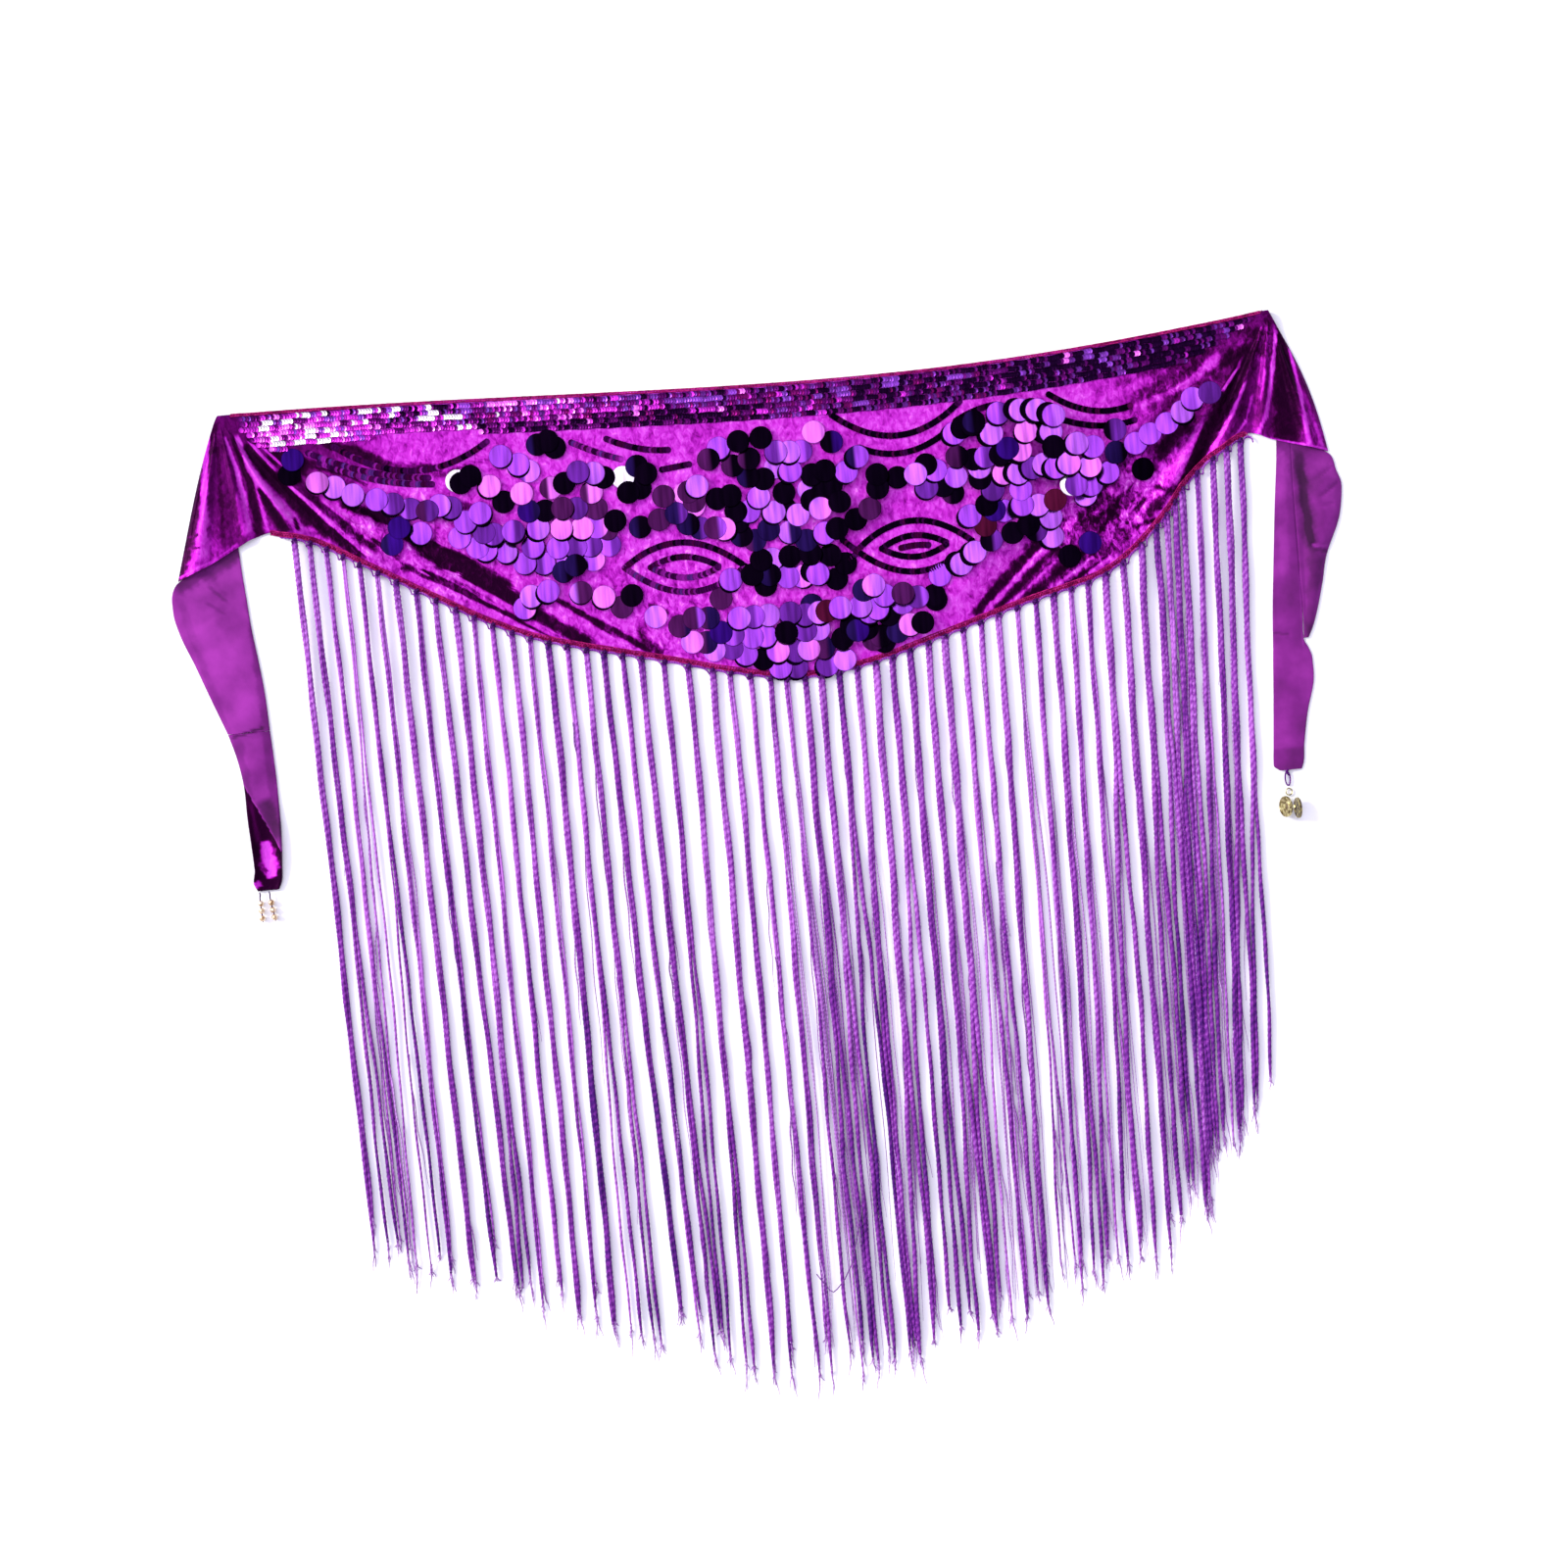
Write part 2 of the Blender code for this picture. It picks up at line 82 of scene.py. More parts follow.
def shader_material(name, roughness, metallic=0.0, colour=(0.8, 0.8, 0.8, 1.0)):
    """A new material, its node tree and its main shader."""
    finish = bpy.data.materials.new(name)
    finish.use_nodes = True
    shader = finish.node_tree.nodes["Principled BSDF"]
    set_inputs(finish.node_tree, shader, {"Base Color": colour, "Roughness": roughness, "Metallic": metallic})
    return finish, finish.node_tree, shader


def set_inputs(tree, node, inputs):
    """Sets each named or numbered input of a node to a value, or links it to another's output."""
    for key, value in inputs.items():
        if isinstance(value, bpy.types.NodeSocket):
            tree.links.new(value, node.inputs[key])
        else:
            node.inputs[key].default_value = value


def add_node(tree, kind, inputs, **settings):
    """A new shader node of a kind, with its settings and its inputs."""
    node = tree.nodes.new("ShaderNode" + kind)
    for setting, value in settings.items():
        setattr(node, setting, value)
    set_inputs(tree, node, inputs)
    return node


def colour_ramp(tree, at, stops):
    """The colour at a value on a ramp of rising stops."""
    ramp = add_node(tree, "ValToRGB", {0: at})
    elements = ramp.color_ramp.elements
    for position, _ in stops[1:-1]:
        elements.new(position)
    for element, (position, colour) in zip(elements, stops):
        element.position, element.color = position, colour
    return ramp.outputs[0]


def sun_light(name, towards, strength, softness, colour):
    """A soft light from one side; towards is the way to it from the scarf."""
    light_data = bpy.data.lights.new(name, "SUN")
    light_data.energy = strength
    light_data.angle = math.radians(softness)
    light_data.color = colour
    light = bpy.data.objects.new(name, light_data)
    light.location = Vector(towards).normalized() * 3.0
    light.rotation_euler = Vector(towards).to_track_quat("Z", "Y").to_euler()
    bpy.context.scene.collection.objects.link(light)


sun_light("key", (-0.80, 0.34, 0.52), 2.1, 14.0, (1.0, 0.985, 0.88))

SKY_LEAN = (-0.50, 0.34, 0.80)      # towards its brightest part
SKY = (
    (0.0, (0.34, 0.33, 0.40, 1.0)), (0.45, (0.46, 0.45, 0.55, 1.0)), (0.72, (0.72, 0.70, 0.84, 1.0)),
    (0.86, (0.98, 0.95, 1.14, 1.0)), (1.0, (1.22, 1.19, 1.36, 1.0)),
)
SKY_STRENGTH = 1.24
world = bpy.data.worlds.new("studio")
bpy.context.scene.world = world
world.use_nodes = True
sky_coords = add_node(world.node_tree, "TexCoord", {})
sky_side = add_node(world.node_tree, "VectorMath", {0: sky_coords.outputs["Generated"], 1: SKY_LEAN},
                    operation="DOT_PRODUCT")
sky_colour = colour_ramp(world.node_tree, sky_side.outputs["Value"], SKY)
set_inputs(world.node_tree, world.node_tree.nodes["Background"],
           {"Color": sky_colour, "Strength": SKY_STRENGTH})

bpy.ops.mesh.primitive_grid_add(x_subdivisions=4, y_subdivisions=4, size=FLOOR_SIZE,
                                location=(*VIEW_CENTRE, -0.0004))
floor = bpy.context.object
floor.name = "floor"
floor_finish, _, _ = shader_material("pale_floor", 0.9, colour=(0.93, 0.93, 0.94, 1.0))
floor.data.materials.append(floor_finish)

# --- Front panel --------------------------------------------------------------------------------
# One shallow triangle of crushed foil velvet, its ends gathered into the two top corners. The
# cloth fans out from each corner in sharp folds, with painted highlights on the ridges and
# painted shade in the valleys, where the pile goes nearly black. Places are in millimetres on
# the laid scarf, across from the left corner and down towards the fringe.

MM = 0.001
SPAN = 800.0
MIDDLE_ACROSS, MIDDLE_DOWN = 396.4, 390.0
CLOTH = 1.5                 # height of the cloth's face above its underside in the frame
SHELL = 0.9                 # wall of the velvet
TOP_SAG = 18.75
TURN_WIDTH = 4.5
TIE_CLEARANCE = 2.0
LIFT_FADE, LIFT_START, LIFT_FULL = 8.0, 12.0, 32.0
BOW_REACH = 60.0
CORNER_SPREAD = 0.04
GATHER_RISE, GATHER_REACH = 4.5, 34.0
FAN_REACH = 270.0           # length of hem beside each end that fans out from the corner
FAN_STEP, MIDDLE_STEP, ROWS = 1.5, 3.2, 96
TURN_PARTS = (0.08, 0.25, 0.5, 0.75, 1.0)

HEM = (                     # across, down
    (-47, 121.5), (-22.5, 112.5), (1.5, 100.5), (15, 94.5), (27, 91.5), (35, 93.4), (61.5, 101),
    (99.7, 123), (144.7, 150), (189.5, 175.5), (233.8, 194), (323.6, 218), (369, 230.6), (420, 239.5),
    (471.7, 234.3), (531, 218.7), (591.7, 201.3), (650.8, 186.6), (680.2, 170.4), (709.4, 143.4),
    (724.4, 124.6), (743.6, 107.6), (755.3, 100.7), (770.9, 92.1), (782, 91), (795, 96.5), (819, 104.3),
    (838.5, 110.3),
)
WINGS = {
    "left": {"corner": (-4.0, -1.0), "bow": 3.4, "over_tie": 54.0, "inward": 1.0},
    "right": {"corner": (803.0, -1.0), "bow": 5.5, "over_tie": 42.0, "inward": -1.0},
}
FOLDS = (                   # wing, angle inward, half width, rise, start, end
    ("left", -13, 5.5, 4, 12, 165),
    ("left", 8, 5, 3.6, 8, 150),
    ("left", 27, 7, 5.5, 10, 170),
    ("left", 40.5, 5.5, 5, 34, 205),
    ("left", 48.5, 3.8, 4.2, 70, 260),
    ("left", 57, 4.4, 3.4, 90, 330),
    ("right", -12, 5, 4, 16, 150),
    ("right", 8.5, 5.5, 4.6, 8, 140),
    ("right", 24, 6, 5, 12, 165),
    ("right", 34.5, 5, 5.2, 50, 215),
    ("right", 46.5, 5, 4, 70, 290),
    ("right", 54, 3.6, 3, 110, 370),
)

# Creases in the pile: from across, down, to across, down, width there and here, and the tone
# from -1 for painted shade in a valley to 1 for a painted highlight on a ridge
CREASES = (
    (-7, 10, -46, 118, 5, 12, -0.8), (-3, 12, 1, 98, 12, 20, -0.42), (-6, 20, -9, 100, 3, 4, -0.58),
    (-13, 14, -18, 42, 3.4, 5.5, 0.33), (-18, 42, -22.5, 78, 5.5, 7.5, 0.45),
    (-23, 78, -27, 107, 8, 10.5, 0.41), (-37, 89, -27, 88, 2.2, 2.2, -0.5),
    (-38, 97.5, -27, 98, 2.2, 2, -0.45), (-46, 119, -20, 109.5, 1.8, 1.8, 0.33),
    (-20, 110, 0, 98.8, 1.6, 1.6, 0.1), (5, 60, 8, 92, 3, 5, 0.1), (0, 16, 5.5, 38, 2.4, 3.2, 0.42),
    (5.5, 38, 9.5, 60, 3.4, 4.4, 0.5), (9.5, 60, 12, 90, 5, 3.6, 0.46), (6, 18, 15, 52, 3, 5, -0.85),
    (15, 52, 19.5, 93, 5, 7, -0.85), (19, 48, 21.5, 66, 2, 2.4, 0.3), (21.5, 66, 25.5, 90, 2.4, 2.6, 0.4),
    (8.5, 18, 14, 30, 1.8, 2.2, 0.45), (9, 16, 17.5, 42, 3, 6, 0.5), (17.5, 42, 33, 66, 6, 9, 0.55),
    (33, 66, 54, 94, 9, 13, 0.55), (22, 58, 31, 76, 3, 8, -0.95), (31, 76, 40, 92, 8, 7, -0.95),
    (46.5, 82, 49, 92, 2, 2.8, -0.6), (15, 24, 30, 46, 5, 9, -0.98), (30, 46, 60, 83, 10, 13, -0.98),
    (60, 83, 96, 117, 13, 10, -0.98), (60, 66, 106, 112, 5, 9, -0.5), (45, 57, 60, 73, 2.4, 3.2, 0.52),
    (60, 73, 76, 91, 3.2, 3.4, 0.5), (76, 91, 106, 122, 3.4, 4, 0.46), (70, 71, 100, 98, 4, 7, 0.36),
    (100, 98, 126, 124, 7, 6, 0.41), (84, 75, 112, 88, 6, 7, -0.95), (112, 88, 137, 101, 7, 6, -0.95),
    (33, 32, 60, 44, 10, 12, -1), (34, 50, 54, 52, 8, 7, -1), (62, 42, 86, 51, 6, 4, -0.85),
    (86, 51, 103, 62, 3, 3, -0.6), (17, 19.5, 36, 44, 2, 2.6, 0.33), (25, 23, 42, 42, 2, 2.4, 0.3),
    (104, 104, 134, 131, 3, 4, -0.55), (100, 88, 142, 114, 3, 3.6, 0.36),
    (130, 103, 150, 118, 7, 9, -0.9), (139, 111, 175, 140, 11, 16, -0.99),
    (175, 140, 213, 166, 17, 13, -0.99), (128, 116, 170, 143, 3.6, 3.6, 0.4),
    (124, 122, 146, 130, 4, 4, 0.42), (146, 135, 178, 156, 3, 3.6, -0.8),
    (135, 127, 150, 139, 2.4, 2.8, -0.85), (170, 143, 214, 174, 3.6, 4.4, 0.42),
    (150, 133, 168, 138, 3, 3.4, 0.47), (161, 147, 236, 193, 3, 4, -0.92),
    (217, 170, 262, 200, 11, 8, -0.98), (214, 178, 244, 198, 2.4, 3, 0.3),
    (238, 163, 304, 208, 3.4, 5, -0.92), (248, 170, 280, 196, 2.4, 3, -0.7),
    (240, 170, 262, 188, 2.6, 3, 0.47), (262, 186, 290, 206, 3, 4, 0.45),
    (262, 166, 300, 192, 3.4, 4, 0.3), (300, 197, 315, 214, 7, 7, -0.5), (310, 176, 330, 187, 5, 5, -0.3),
    (70, 44, 172, 62, 4, 6, -0.1), (62, 36, 120, 58, 3, 3.4, 0.35), (93, 54, 160, 70, 3.4, 4.4, 0.35),
    (154, 78, 196, 92, 6, 6, -0.3), (168, 60, 196, 52, 4, 4, -0.3), (811, 14, 809, 98, 8, 21, -0.99),
    (812.5, 12, 819, 34, 3.4, 3.4, -0.8), (824, 66, 834, 108, 3, 11, -0.15),
    (830, 88, 834, 106, 3, 3, 0.3), (816.5, 30, 821, 62, 2.2, 3, 0.4), (821, 62, 824, 106, 3, 4, 0.46),
    (783, 30, 760, 70, 10, 13, -0.99), (760, 70, 722, 130, 12, 14, -0.99), (800, 26, 791, 58, 5, 6, -0.2),
    (790, 58, 782, 86, 6, 8, -0.25), (796, 44, 790, 66, 2.4, 3, 0.1), (785, 62, 778, 82, 2, 2, 0.2),
    (779, 80, 768, 93, 2, 2, 0.35), (807.5, 16, 803, 40, 3, 3.2, 0.5), (803, 40, 794, 78, 3.4, 3.4, 0.52),
    (794, 78, 786, 92, 3.4, 3, 0.47), (780.5, 52, 768, 74, 2.4, 3.4, 0.45),
    (768, 74, 752, 98, 3, 3.2, 0.41), (752, 98, 737, 119, 4, 4, 0.4), (776, 40, 763, 56, 2, 2.6, 0.4),
    (787, 20, 776, 40, 2, 2.4, -0.1), (738, 74, 700, 108, 9, 14, -0.72), (743, 80, 728, 104, 4, 8, 0.36),
    (728, 104, 716, 124, 8, 12, 0.3), (720, 126, 696, 145, 8, 7, -0.5),
    (704, 124, 716, 130, 3.4, 3.4, -0.8), (715, 47, 752, 35, 6, 6, -0.4), (762, 36, 786, 26, 9, 7, -0.95),
    (698, 62, 744, 46, 5, 4, 0.36), (735, 50, 762, 30, 5, 8, 0.36), (660, 56, 712, 42, 6, 8, 0.38),
    (782, 93, 818, 103, 1.8, 1.8, 0.35), (818, 103, 838, 109.5, 1.8, 1.8, 0.35),
    (679, 122, 645, 150, 9, 10, -0.6), (690, 112, 672, 128, 8, 8, -0.45),
    (700, 128, 668, 160, 4, 5, -0.55), (690, 124, 700, 132, 5, 5, 0.4), (672, 150, 684, 158, 4, 4, 0.36),
    (650, 134, 672, 118, 6, 5, 0.3), (664, 158, 700, 150, 4, 3, -0.8), (702, 98, 656, 136, 26, 22, -0.12),
    (690, 118, 640, 158, 14, 16, 0), (726, 66, 694, 92, 14, 10, -0.35),
    (142, 113, 170, 127, 8, 10, -0.92), (170, 127, 204, 152, 10, 9, -0.92),
    (124, 130, 131, 127, 3, 3, -0.85), (150, 131, 163, 130, 2.6, 2.6, -0.7),
    (138, 135, 178, 156, 3, 3.4, -0.7), (134, 128, 150, 133, 3, 3, 0.3),
    (652, 158, 592, 200, 26, 20, -0.3), (680, 150, 640, 186, 20, 16, -0.22),
    (612, 157, 584, 182, 8.5, 8, -0.92), (584, 182, 558, 206.5, 8, 5, -0.92),
    (613, 163, 567, 205, 2.2, 2.4, 0.5), (624, 163, 575, 204.5, 5.6, 4.6, -0.92),
    (632, 165.5, 584, 203.5, 2.2, 2.2, 0.5), (642, 170, 594, 202.5, 5.8, 4.6, -0.88),
    (650, 174, 606, 201, 2.2, 2.2, 0.46), (664, 174, 618, 199, 4.8, 4, -0.84),
    (652, 152, 690, 126, 12, 11, -0.5), (645, 142, 666, 126, 7, 7, -0.5),
    (631, 142, 634, 144, 2.6, 2.6, -0.9), (645, 144.5, 648, 146, 2.4, 2.4, -0.9),
    (656, 136, 658, 138, 2.4, 2.4, -0.9), (670, 149, 673, 151, 2.6, 2.6, -0.9),
    (705, 140, 707, 142, 2.2, 2.2, -0.9), (689, 135, 691, 137, 2.6, 2.6, -0.8),
    (648, 158, 612, 176, 3.4, 3.4, -0.3), (690, 158, 640, 190, 3, 3.4, 0.3),
    (520, 176, 556, 196, 5, 5, 0.1), (566, 176, 574, 180, 6, 6, 0.3), (512, 166, 560, 176, 14, 10, 0.35),
    (420, 134, 440, 140, 8, 8, 0.3), (17, 18, 44, 30, 4, 8, -0.9), (76, 29, 95, 34.5, 5, 7, -0.8),
    (95, 34.5, 124, 50, 7, 6, -0.8), (124, 50.5, 160, 55, 6, 5, -0.4),
)
PLAIN_TONE = 0.34           # of the cloth away from every crease
WING_TONES = {              # near each corner the pile is smooth and darker: full as far as, gone from, how dark
    "left": (70.0, 150.0, -0.36), "right": (78.0, 160.0, -0.42),
}
SMOOTHED = 0.6              # how much less it is crushed there
CRUSHED = (                 # across, down, reach, how much more the pile is crushed there
    (675, 132, 46, 1), (735, 42, 36, 0.9), (155, 128, 40, 0.5), (330, 190, 60, 0.4), (797, 22, 18, 0.9),
    (640, 165, 40, 0.6), (90, 95, 26, 0.8),
)


def place(across, down, rise):
    """A point of the laid scarf, in metres about its middle."""
    return Vector(((across - MIDDLE_ACROSS) * MM, (MIDDLE_DOWN - down) * MM, rise * MM))


def clamp(value):
    return min(1.0, max(0.0, value))


def ease(value):
    value = clamp(value)
    return value * value * (3.0 - 2.0 * value)


def uneven(seed):
    """A fixed number from 0 to 1 that looks random."""
    wave = math.sin(seed * 12.9898 + 4.1) * 43758.5453
    return wave - math.floor(wave)


def between(table, key, column):
    """A column of a table at a value of its first column, on a smooth curve through the rows."""
    rows = len(table)
    index = 0
    while index < rows - 2 and table[index + 1][0] < key:
        index += 1
    x1, x2 = table[index][0], table[index + 1][0]
    y1, y2 = table[index][column], table[index + 1][column]
    slope = (y2 - y1) / (x2 - x1)
    slopes = []
    for near in (index - 1, index + 1):
        other = max(0, min(rows - 2, near))
        side = (table[other + 1][column] - table[other][column]) / (table[other + 1][0] - table[other][0])
        slopes.append(0.5 * (side + slope) if side * slope > 0.0 else 0.0)
    width = x2 - x1
    t = clamp((key - x1) / width)
    return (y1 * (1 + 2 * t) * (1 - t) ** 2 + slopes[0] * width * t * (1 - t) ** 2
            + y2 * t * t * (3 - 2 * t) + slopes[1] * width * t * t * (t - 1))


class Edge:
    """A smooth line through the points of a table, measured by its length."""

    def __init__(self, points, steps=12):
        self.points = []
        last = len(points) - 1
        for index in range(last):
            before, start = points[max(0, index - 1)], points[index]
            end, after = points[index + 1], points[min(last, index + 2)]
            for step in range(steps):
                self.points.append(self.curve(before, start, end, after, step / steps))
        self.points.append(Vector(points[last]))
        self.lengths = [0.0]
        for start, end in zip(self.points, self.points[1:]):
            self.lengths.append(self.lengths[-1] + (end - start).length)
        self.length = self.lengths[-1]

    @staticmethod
    def curve(before, start, end, after, t):
        """A place between start and end on a smooth curve through all four points."""
        before, start, end, after = (Vector(point) for point in (before, start, end, after))
        return 0.5 * (2 * start + (end - before) * t + (2 * before - 5 * start + 4 * end - after) * t * t
                      + (3 * start - before - 3 * end + after) * t ** 3)

    def at(self, distance):
        """The place at a distance along the line."""
        index = int(np.searchsorted(self.lengths, distance)) - 1
        index = max(0, min(len(self.lengths) - 2, index))
        span = self.lengths[index + 1] - self.lengths[index]
        return self.points[index].lerp(self.points[index + 1], (distance - self.lengths[index]) / span)

    def distance_at(self, across):
        """The distance along the line at which it reaches a place across."""
        for index, (start, end) in enumerate(zip(self.points, self.points[1:])):
            if start.x <= across <= end.x:
                part = (across - start.x) / (end.x - start.x)
                return self.lengths[index] + part * (self.lengths[index + 1] - self.lengths[index])
        return self.length

    def outward(self, distance):
        """Unit vector away from the cloth, towards the fringe."""
        along = self.at(min(self.length, distance + 1.0)) - self.at(max(0.0, distance - 1.0))
        return Vector((-along.y, along.x)).normalized()


def fold_rise(across, down):
    """Height of the folds and of the gathered corners."""
    rise = 0.0
    for wing, angle, half_width, height, start, end in FOLDS:
        corner_across, corner_down = WINGS[wing]["corner"]
        inward = (across - corner_across) * WINGS[wing]["inward"]
        reach = math.hypot(inward, down - corner_down)
        turn = math.degrees(math.atan2(inward, down - corner_down)) - angle
        if abs(turn) < half_width and start < reach < end:
            ridge = math.cos(0.5 * math.pi * turn / half_width) ** 2
            rise += height * ridge * math.sin(math.pi * ((reach - start) / (end - start)) ** 0.8)
    for wing in WINGS.values():
        reach = math.dist((across, down), wing["corner"])
        rise += GATHER_RISE * (1.0 - ease(reach / GATHER_REACH))
    return rise


def tie_lift(from_side, over_tie, down):
    """Lift of a wing over its tie, by the hem length from the wing's side."""
    across_lift = clamp(from_side / TURN_WIDTH) * clamp((over_tie + LIFT_FADE - from_side) / LIFT_FADE)
    return TIE_CLEARANCE * across_lift * clamp((down - LIFT_START) / (LIFT_FULL - LIFT_START))


def turned_side(from_side):
    """Share of its height that the cloth keeps where a wing's side rolls down to the surface."""
    part = clamp(from_side / TURN_WIDTH)
    return math.sqrt(1.0 - (1.0 - part) ** 2)


def top_edge(across):
    """Down of the top edge at a place across."""
    return WINGS["left"]["corner"][1] + TOP_SAG * math.sin(math.pi * clamp(across / SPAN) ** 1.5)


def top_point(share):
    """The top edge at a share of the hem's length: crowded into the corners."""
    half = min(share, 1.0 - share) * 2.0
    inward = 0.5 * SPAN * ((1.0 - CORNER_SPREAD) * half ** 4 + CORNER_SPREAD * half)
    left, right = WINGS["left"]["corner"][0], WINGS["right"]["corner"][0]
    across = left + inward * (right - left) / SPAN
    if share > 0.5:
        across = right - (across - left)
    return Vector((across, top_edge(across)))


def hem_stations(hem):
    """Distances along the hem of the panel's columns, close together in the fans."""
    fan = [TURN_WIDTH * part for part in TURN_PARTS]
    while fan[-1] < FAN_REACH:
        fan.append(fan[-1] + FAN_STEP)
    middle_length = hem.length - 2.0 * fan[-1]
    columns = round(middle_length / MIDDLE_STEP)
    middle = [fan[-1] + middle_length * step / columns for step in range(1, columns)]
    mirrored = [hem.length - station for station in reversed(fan)]
    return [0.0] + fan + middle + mirrored + [hem.length]


def crease_tones(flat, creases, base):
    """Tone and small relief, in millimetres, at many places: each crease pulls the base tone to
    its own, and the later ones lie over the earlier ones. The wobble makes their sides uneven."""
    tone = np.full(len(flat), base, dtype=float)
    relief = np.zeros(len(flat))
    wobble = 1.0 + 0.22 * np.sin(flat[:, 0] * 0.31 + 1.3) * np.sin(flat[:, 1] * 0.27)
    wobble += 0.16 * np.sin(flat[:, 0] * 0.83 + flat[:, 1] * 0.47) * np.sin(flat[:, 1] * 0.91)
    for x0, y0, x1, y1, width0, width1, shade in creases:
        start, run = np.array((x0, y0)), np.array((x1 - x0, y1 - y0))
        length = np.hypot(*run)
        offset = flat - start
        along = np.clip(offset @ run / length ** 2, -0.1, 1.1)
        away = np.hypot(*(offset - np.outer(along, run)).T)
        half = 0.5 * (width0 + (width1 - width0) * np.clip(along, 0, 1)) * wobble
        ends = np.clip(np.minimum(along + 0.1, 1.1 - along) / 0.14, 0, 1)
        fall = np.exp(-0.75 * (away / half) ** 5.0) * ends
        tone += (shade - tone) * fall
        relief += np.sign(shade) * min(1.0, abs(shade)) * np.minimum(0.9, 0.12 * half) * fall
    return tone, relief


def link_piece(name, points, faces):
    """A new object in the scene with a mesh of points and faces."""
    mesh = bpy.data.meshes.new(name)
    mesh.from_pydata(points, [], faces)
    piece = bpy.data.objects.new(name, mesh)
    bpy.context.scene.collection.objects.link(piece)
    return piece


def grid_mesh(name, points, rows, columns):
    """A sheet of quads over rows of points, facing up when columns run across and rows down."""
    faces = []
    for row in range(rows - 1):
        for column in range(columns - 1):
            corner = row * columns + column
            faces.append((corner, corner + columns, corner + columns + 1, corner + 1))
    return link_piece(name, points, faces)


def float_attribute(mesh, name, values):
    layer = mesh.attributes.new(name, "FLOAT", "POINT")
    layer.data.foreach_set("value", np.asarray(values, dtype=np.float32))


def thicken(piece, wall):
    """Gives a sheet its wall, downwards from its face."""
    select_none()
    bpy.context.view_layer.objects.active = piece
    piece.select_set(True)
    solidify = piece.modifiers.new("wall", "SOLIDIFY")
    solidify.thickness = wall * MM
    solidify.offset = -1.0
    solidify.use_even_offset = False
    bpy.ops.object.modifier_apply(modifier="wall")
    piece.data.shade_smooth()
    piece.data.set_sharp_from_angle(angle=math.radians(50.0))
    piece.select_set(False)


def new_group(name, inputs, outputs):
    """An empty shader node group with float or colour sockets."""
    group = bpy.data.node_groups.new(name, "ShaderNodeTree")
    for label, kind, value in inputs:
        socket = group.interface.new_socket(name=label, in_out="INPUT", socket_type=kind)
        socket.default_value = value
    for label, kind in outputs:
        group.interface.new_socket(name=label, in_out="OUTPUT", socket_type=kind)
    return group, group.nodes.new("NodeGroupInput"), group.nodes.new("NodeGroupOutput")


def calculate(tree, operation, *inputs):
    """A sum of one kind on values or outputs."""
    return add_node(tree, "Math", dict(enumerate(inputs)), operation=operation).outputs[0]


def noise(tree, at, scale, detail, roughness=0.5, distortion=0.0):
    return add_node(tree, "TexNoise", {"Vector": at, "Scale": scale, "Detail": detail, "Roughness": roughness,
                                       "Distortion": distortion}).outputs["Fac"]


def attribute(tree, name, output="Fac"):
    return add_node(tree, "Attribute", {}, attribute_name=name).outputs[output]


def object_coords(tree):
    return add_node(tree, "TexCoord", {}).outputs["Object"]


def add_bump(tree, shader, height, distance, strength):
    bump = add_node(tree, "Bump", {"Height": height, "Distance": distance, "Strength": strength})
    tree.links.new(bump.outputs[0], shader.inputs["Normal"])


def make_crush_group():
    """Crushed pile: streaky patches and fine flecks, as a shift of tone and a height."""
    group, given, result = new_group("crushed_pile", [("Fleck Size", "NodeSocketFloat", 1.0)],
                                     [("Shift", "NodeSocketFloat"), ("Height", "NodeSocketFloat")])
    stretch = add_node(group, "Mapping", {"Vector": object_coords(group), "Scale": (1.0, 0.62, 1.0),
                                          "Rotation": (0.0, 0.0, math.radians(12.0))}).outputs[0]
    patches = noise(group, stretch, 46.0, 3.0, 0.62)
    flecks = noise(group, stretch, 260.0, 5.0, 0.62, 0.6)
    grain = noise(group, stretch, 900.0, 2.0, 0.62)
    wide = calculate(group, "MULTIPLY_ADD", patches, 1.1, -0.55)
    fine = calculate(group, "MULTIPLY_ADD", flecks, 2.1, -1.05)
    scaled = calculate(group, "MULTIPLY", fine, given.outputs["Fleck Size"])
    set_inputs(group, result, {"Shift": calculate(group, "ADD", wide, scaled),
                               "Height": calculate(group, "MULTIPLY_ADD", grain, 0.35, flecks)})
    return group


crush_group = make_crush_group()


def make_velvet():
    """Foil velvet: magenta, from nearly black where shade is painted in the valleys to pale pink where
    highlights are painted on the ridges.
    """
    finish, tree, shader = shader_material("foil_velvet", 0.36, 0.35)
    crush = add_node(tree, "Group", {"Fleck Size": 1.0}, node_tree=crush_group)
    flecked = calculate(tree, "MULTIPLY", crush.outputs["Shift"], attribute(tree, "crush"))
    shade = calculate(tree, "ADD", attribute(tree, "tone"), flecked)
    part = add_node(tree, "MapRange", {"Value": shade, "From Min": -1.0, "From Max": 1.0}).outputs[0]
    colour = colour_ramp(tree, part, (
        (0.0, srgb(20, 0, 18)), (0.20, srgb(46, 1, 42)), (0.38, srgb(98, 6, 98)), (0.52, srgb(150, 20, 154)),
        (0.66, srgb(184, 42, 188)), (0.84, srgb(206, 76, 212)), (1.0, srgb(240, 140, 240))))
    set_inputs(tree, shader, {
        "Base Color": colour, "Specular IOR Level": 0.12, "Specular Tint": srgb(255, 90, 255),
        "Sheen Weight": 0.02, "Sheen Roughness": 0.4, "Sheen Tint": srgb(255, 120, 255)})
    add_bump(tree, shader, crush.outputs["Height"], 0.0007, 0.8)
    return finish


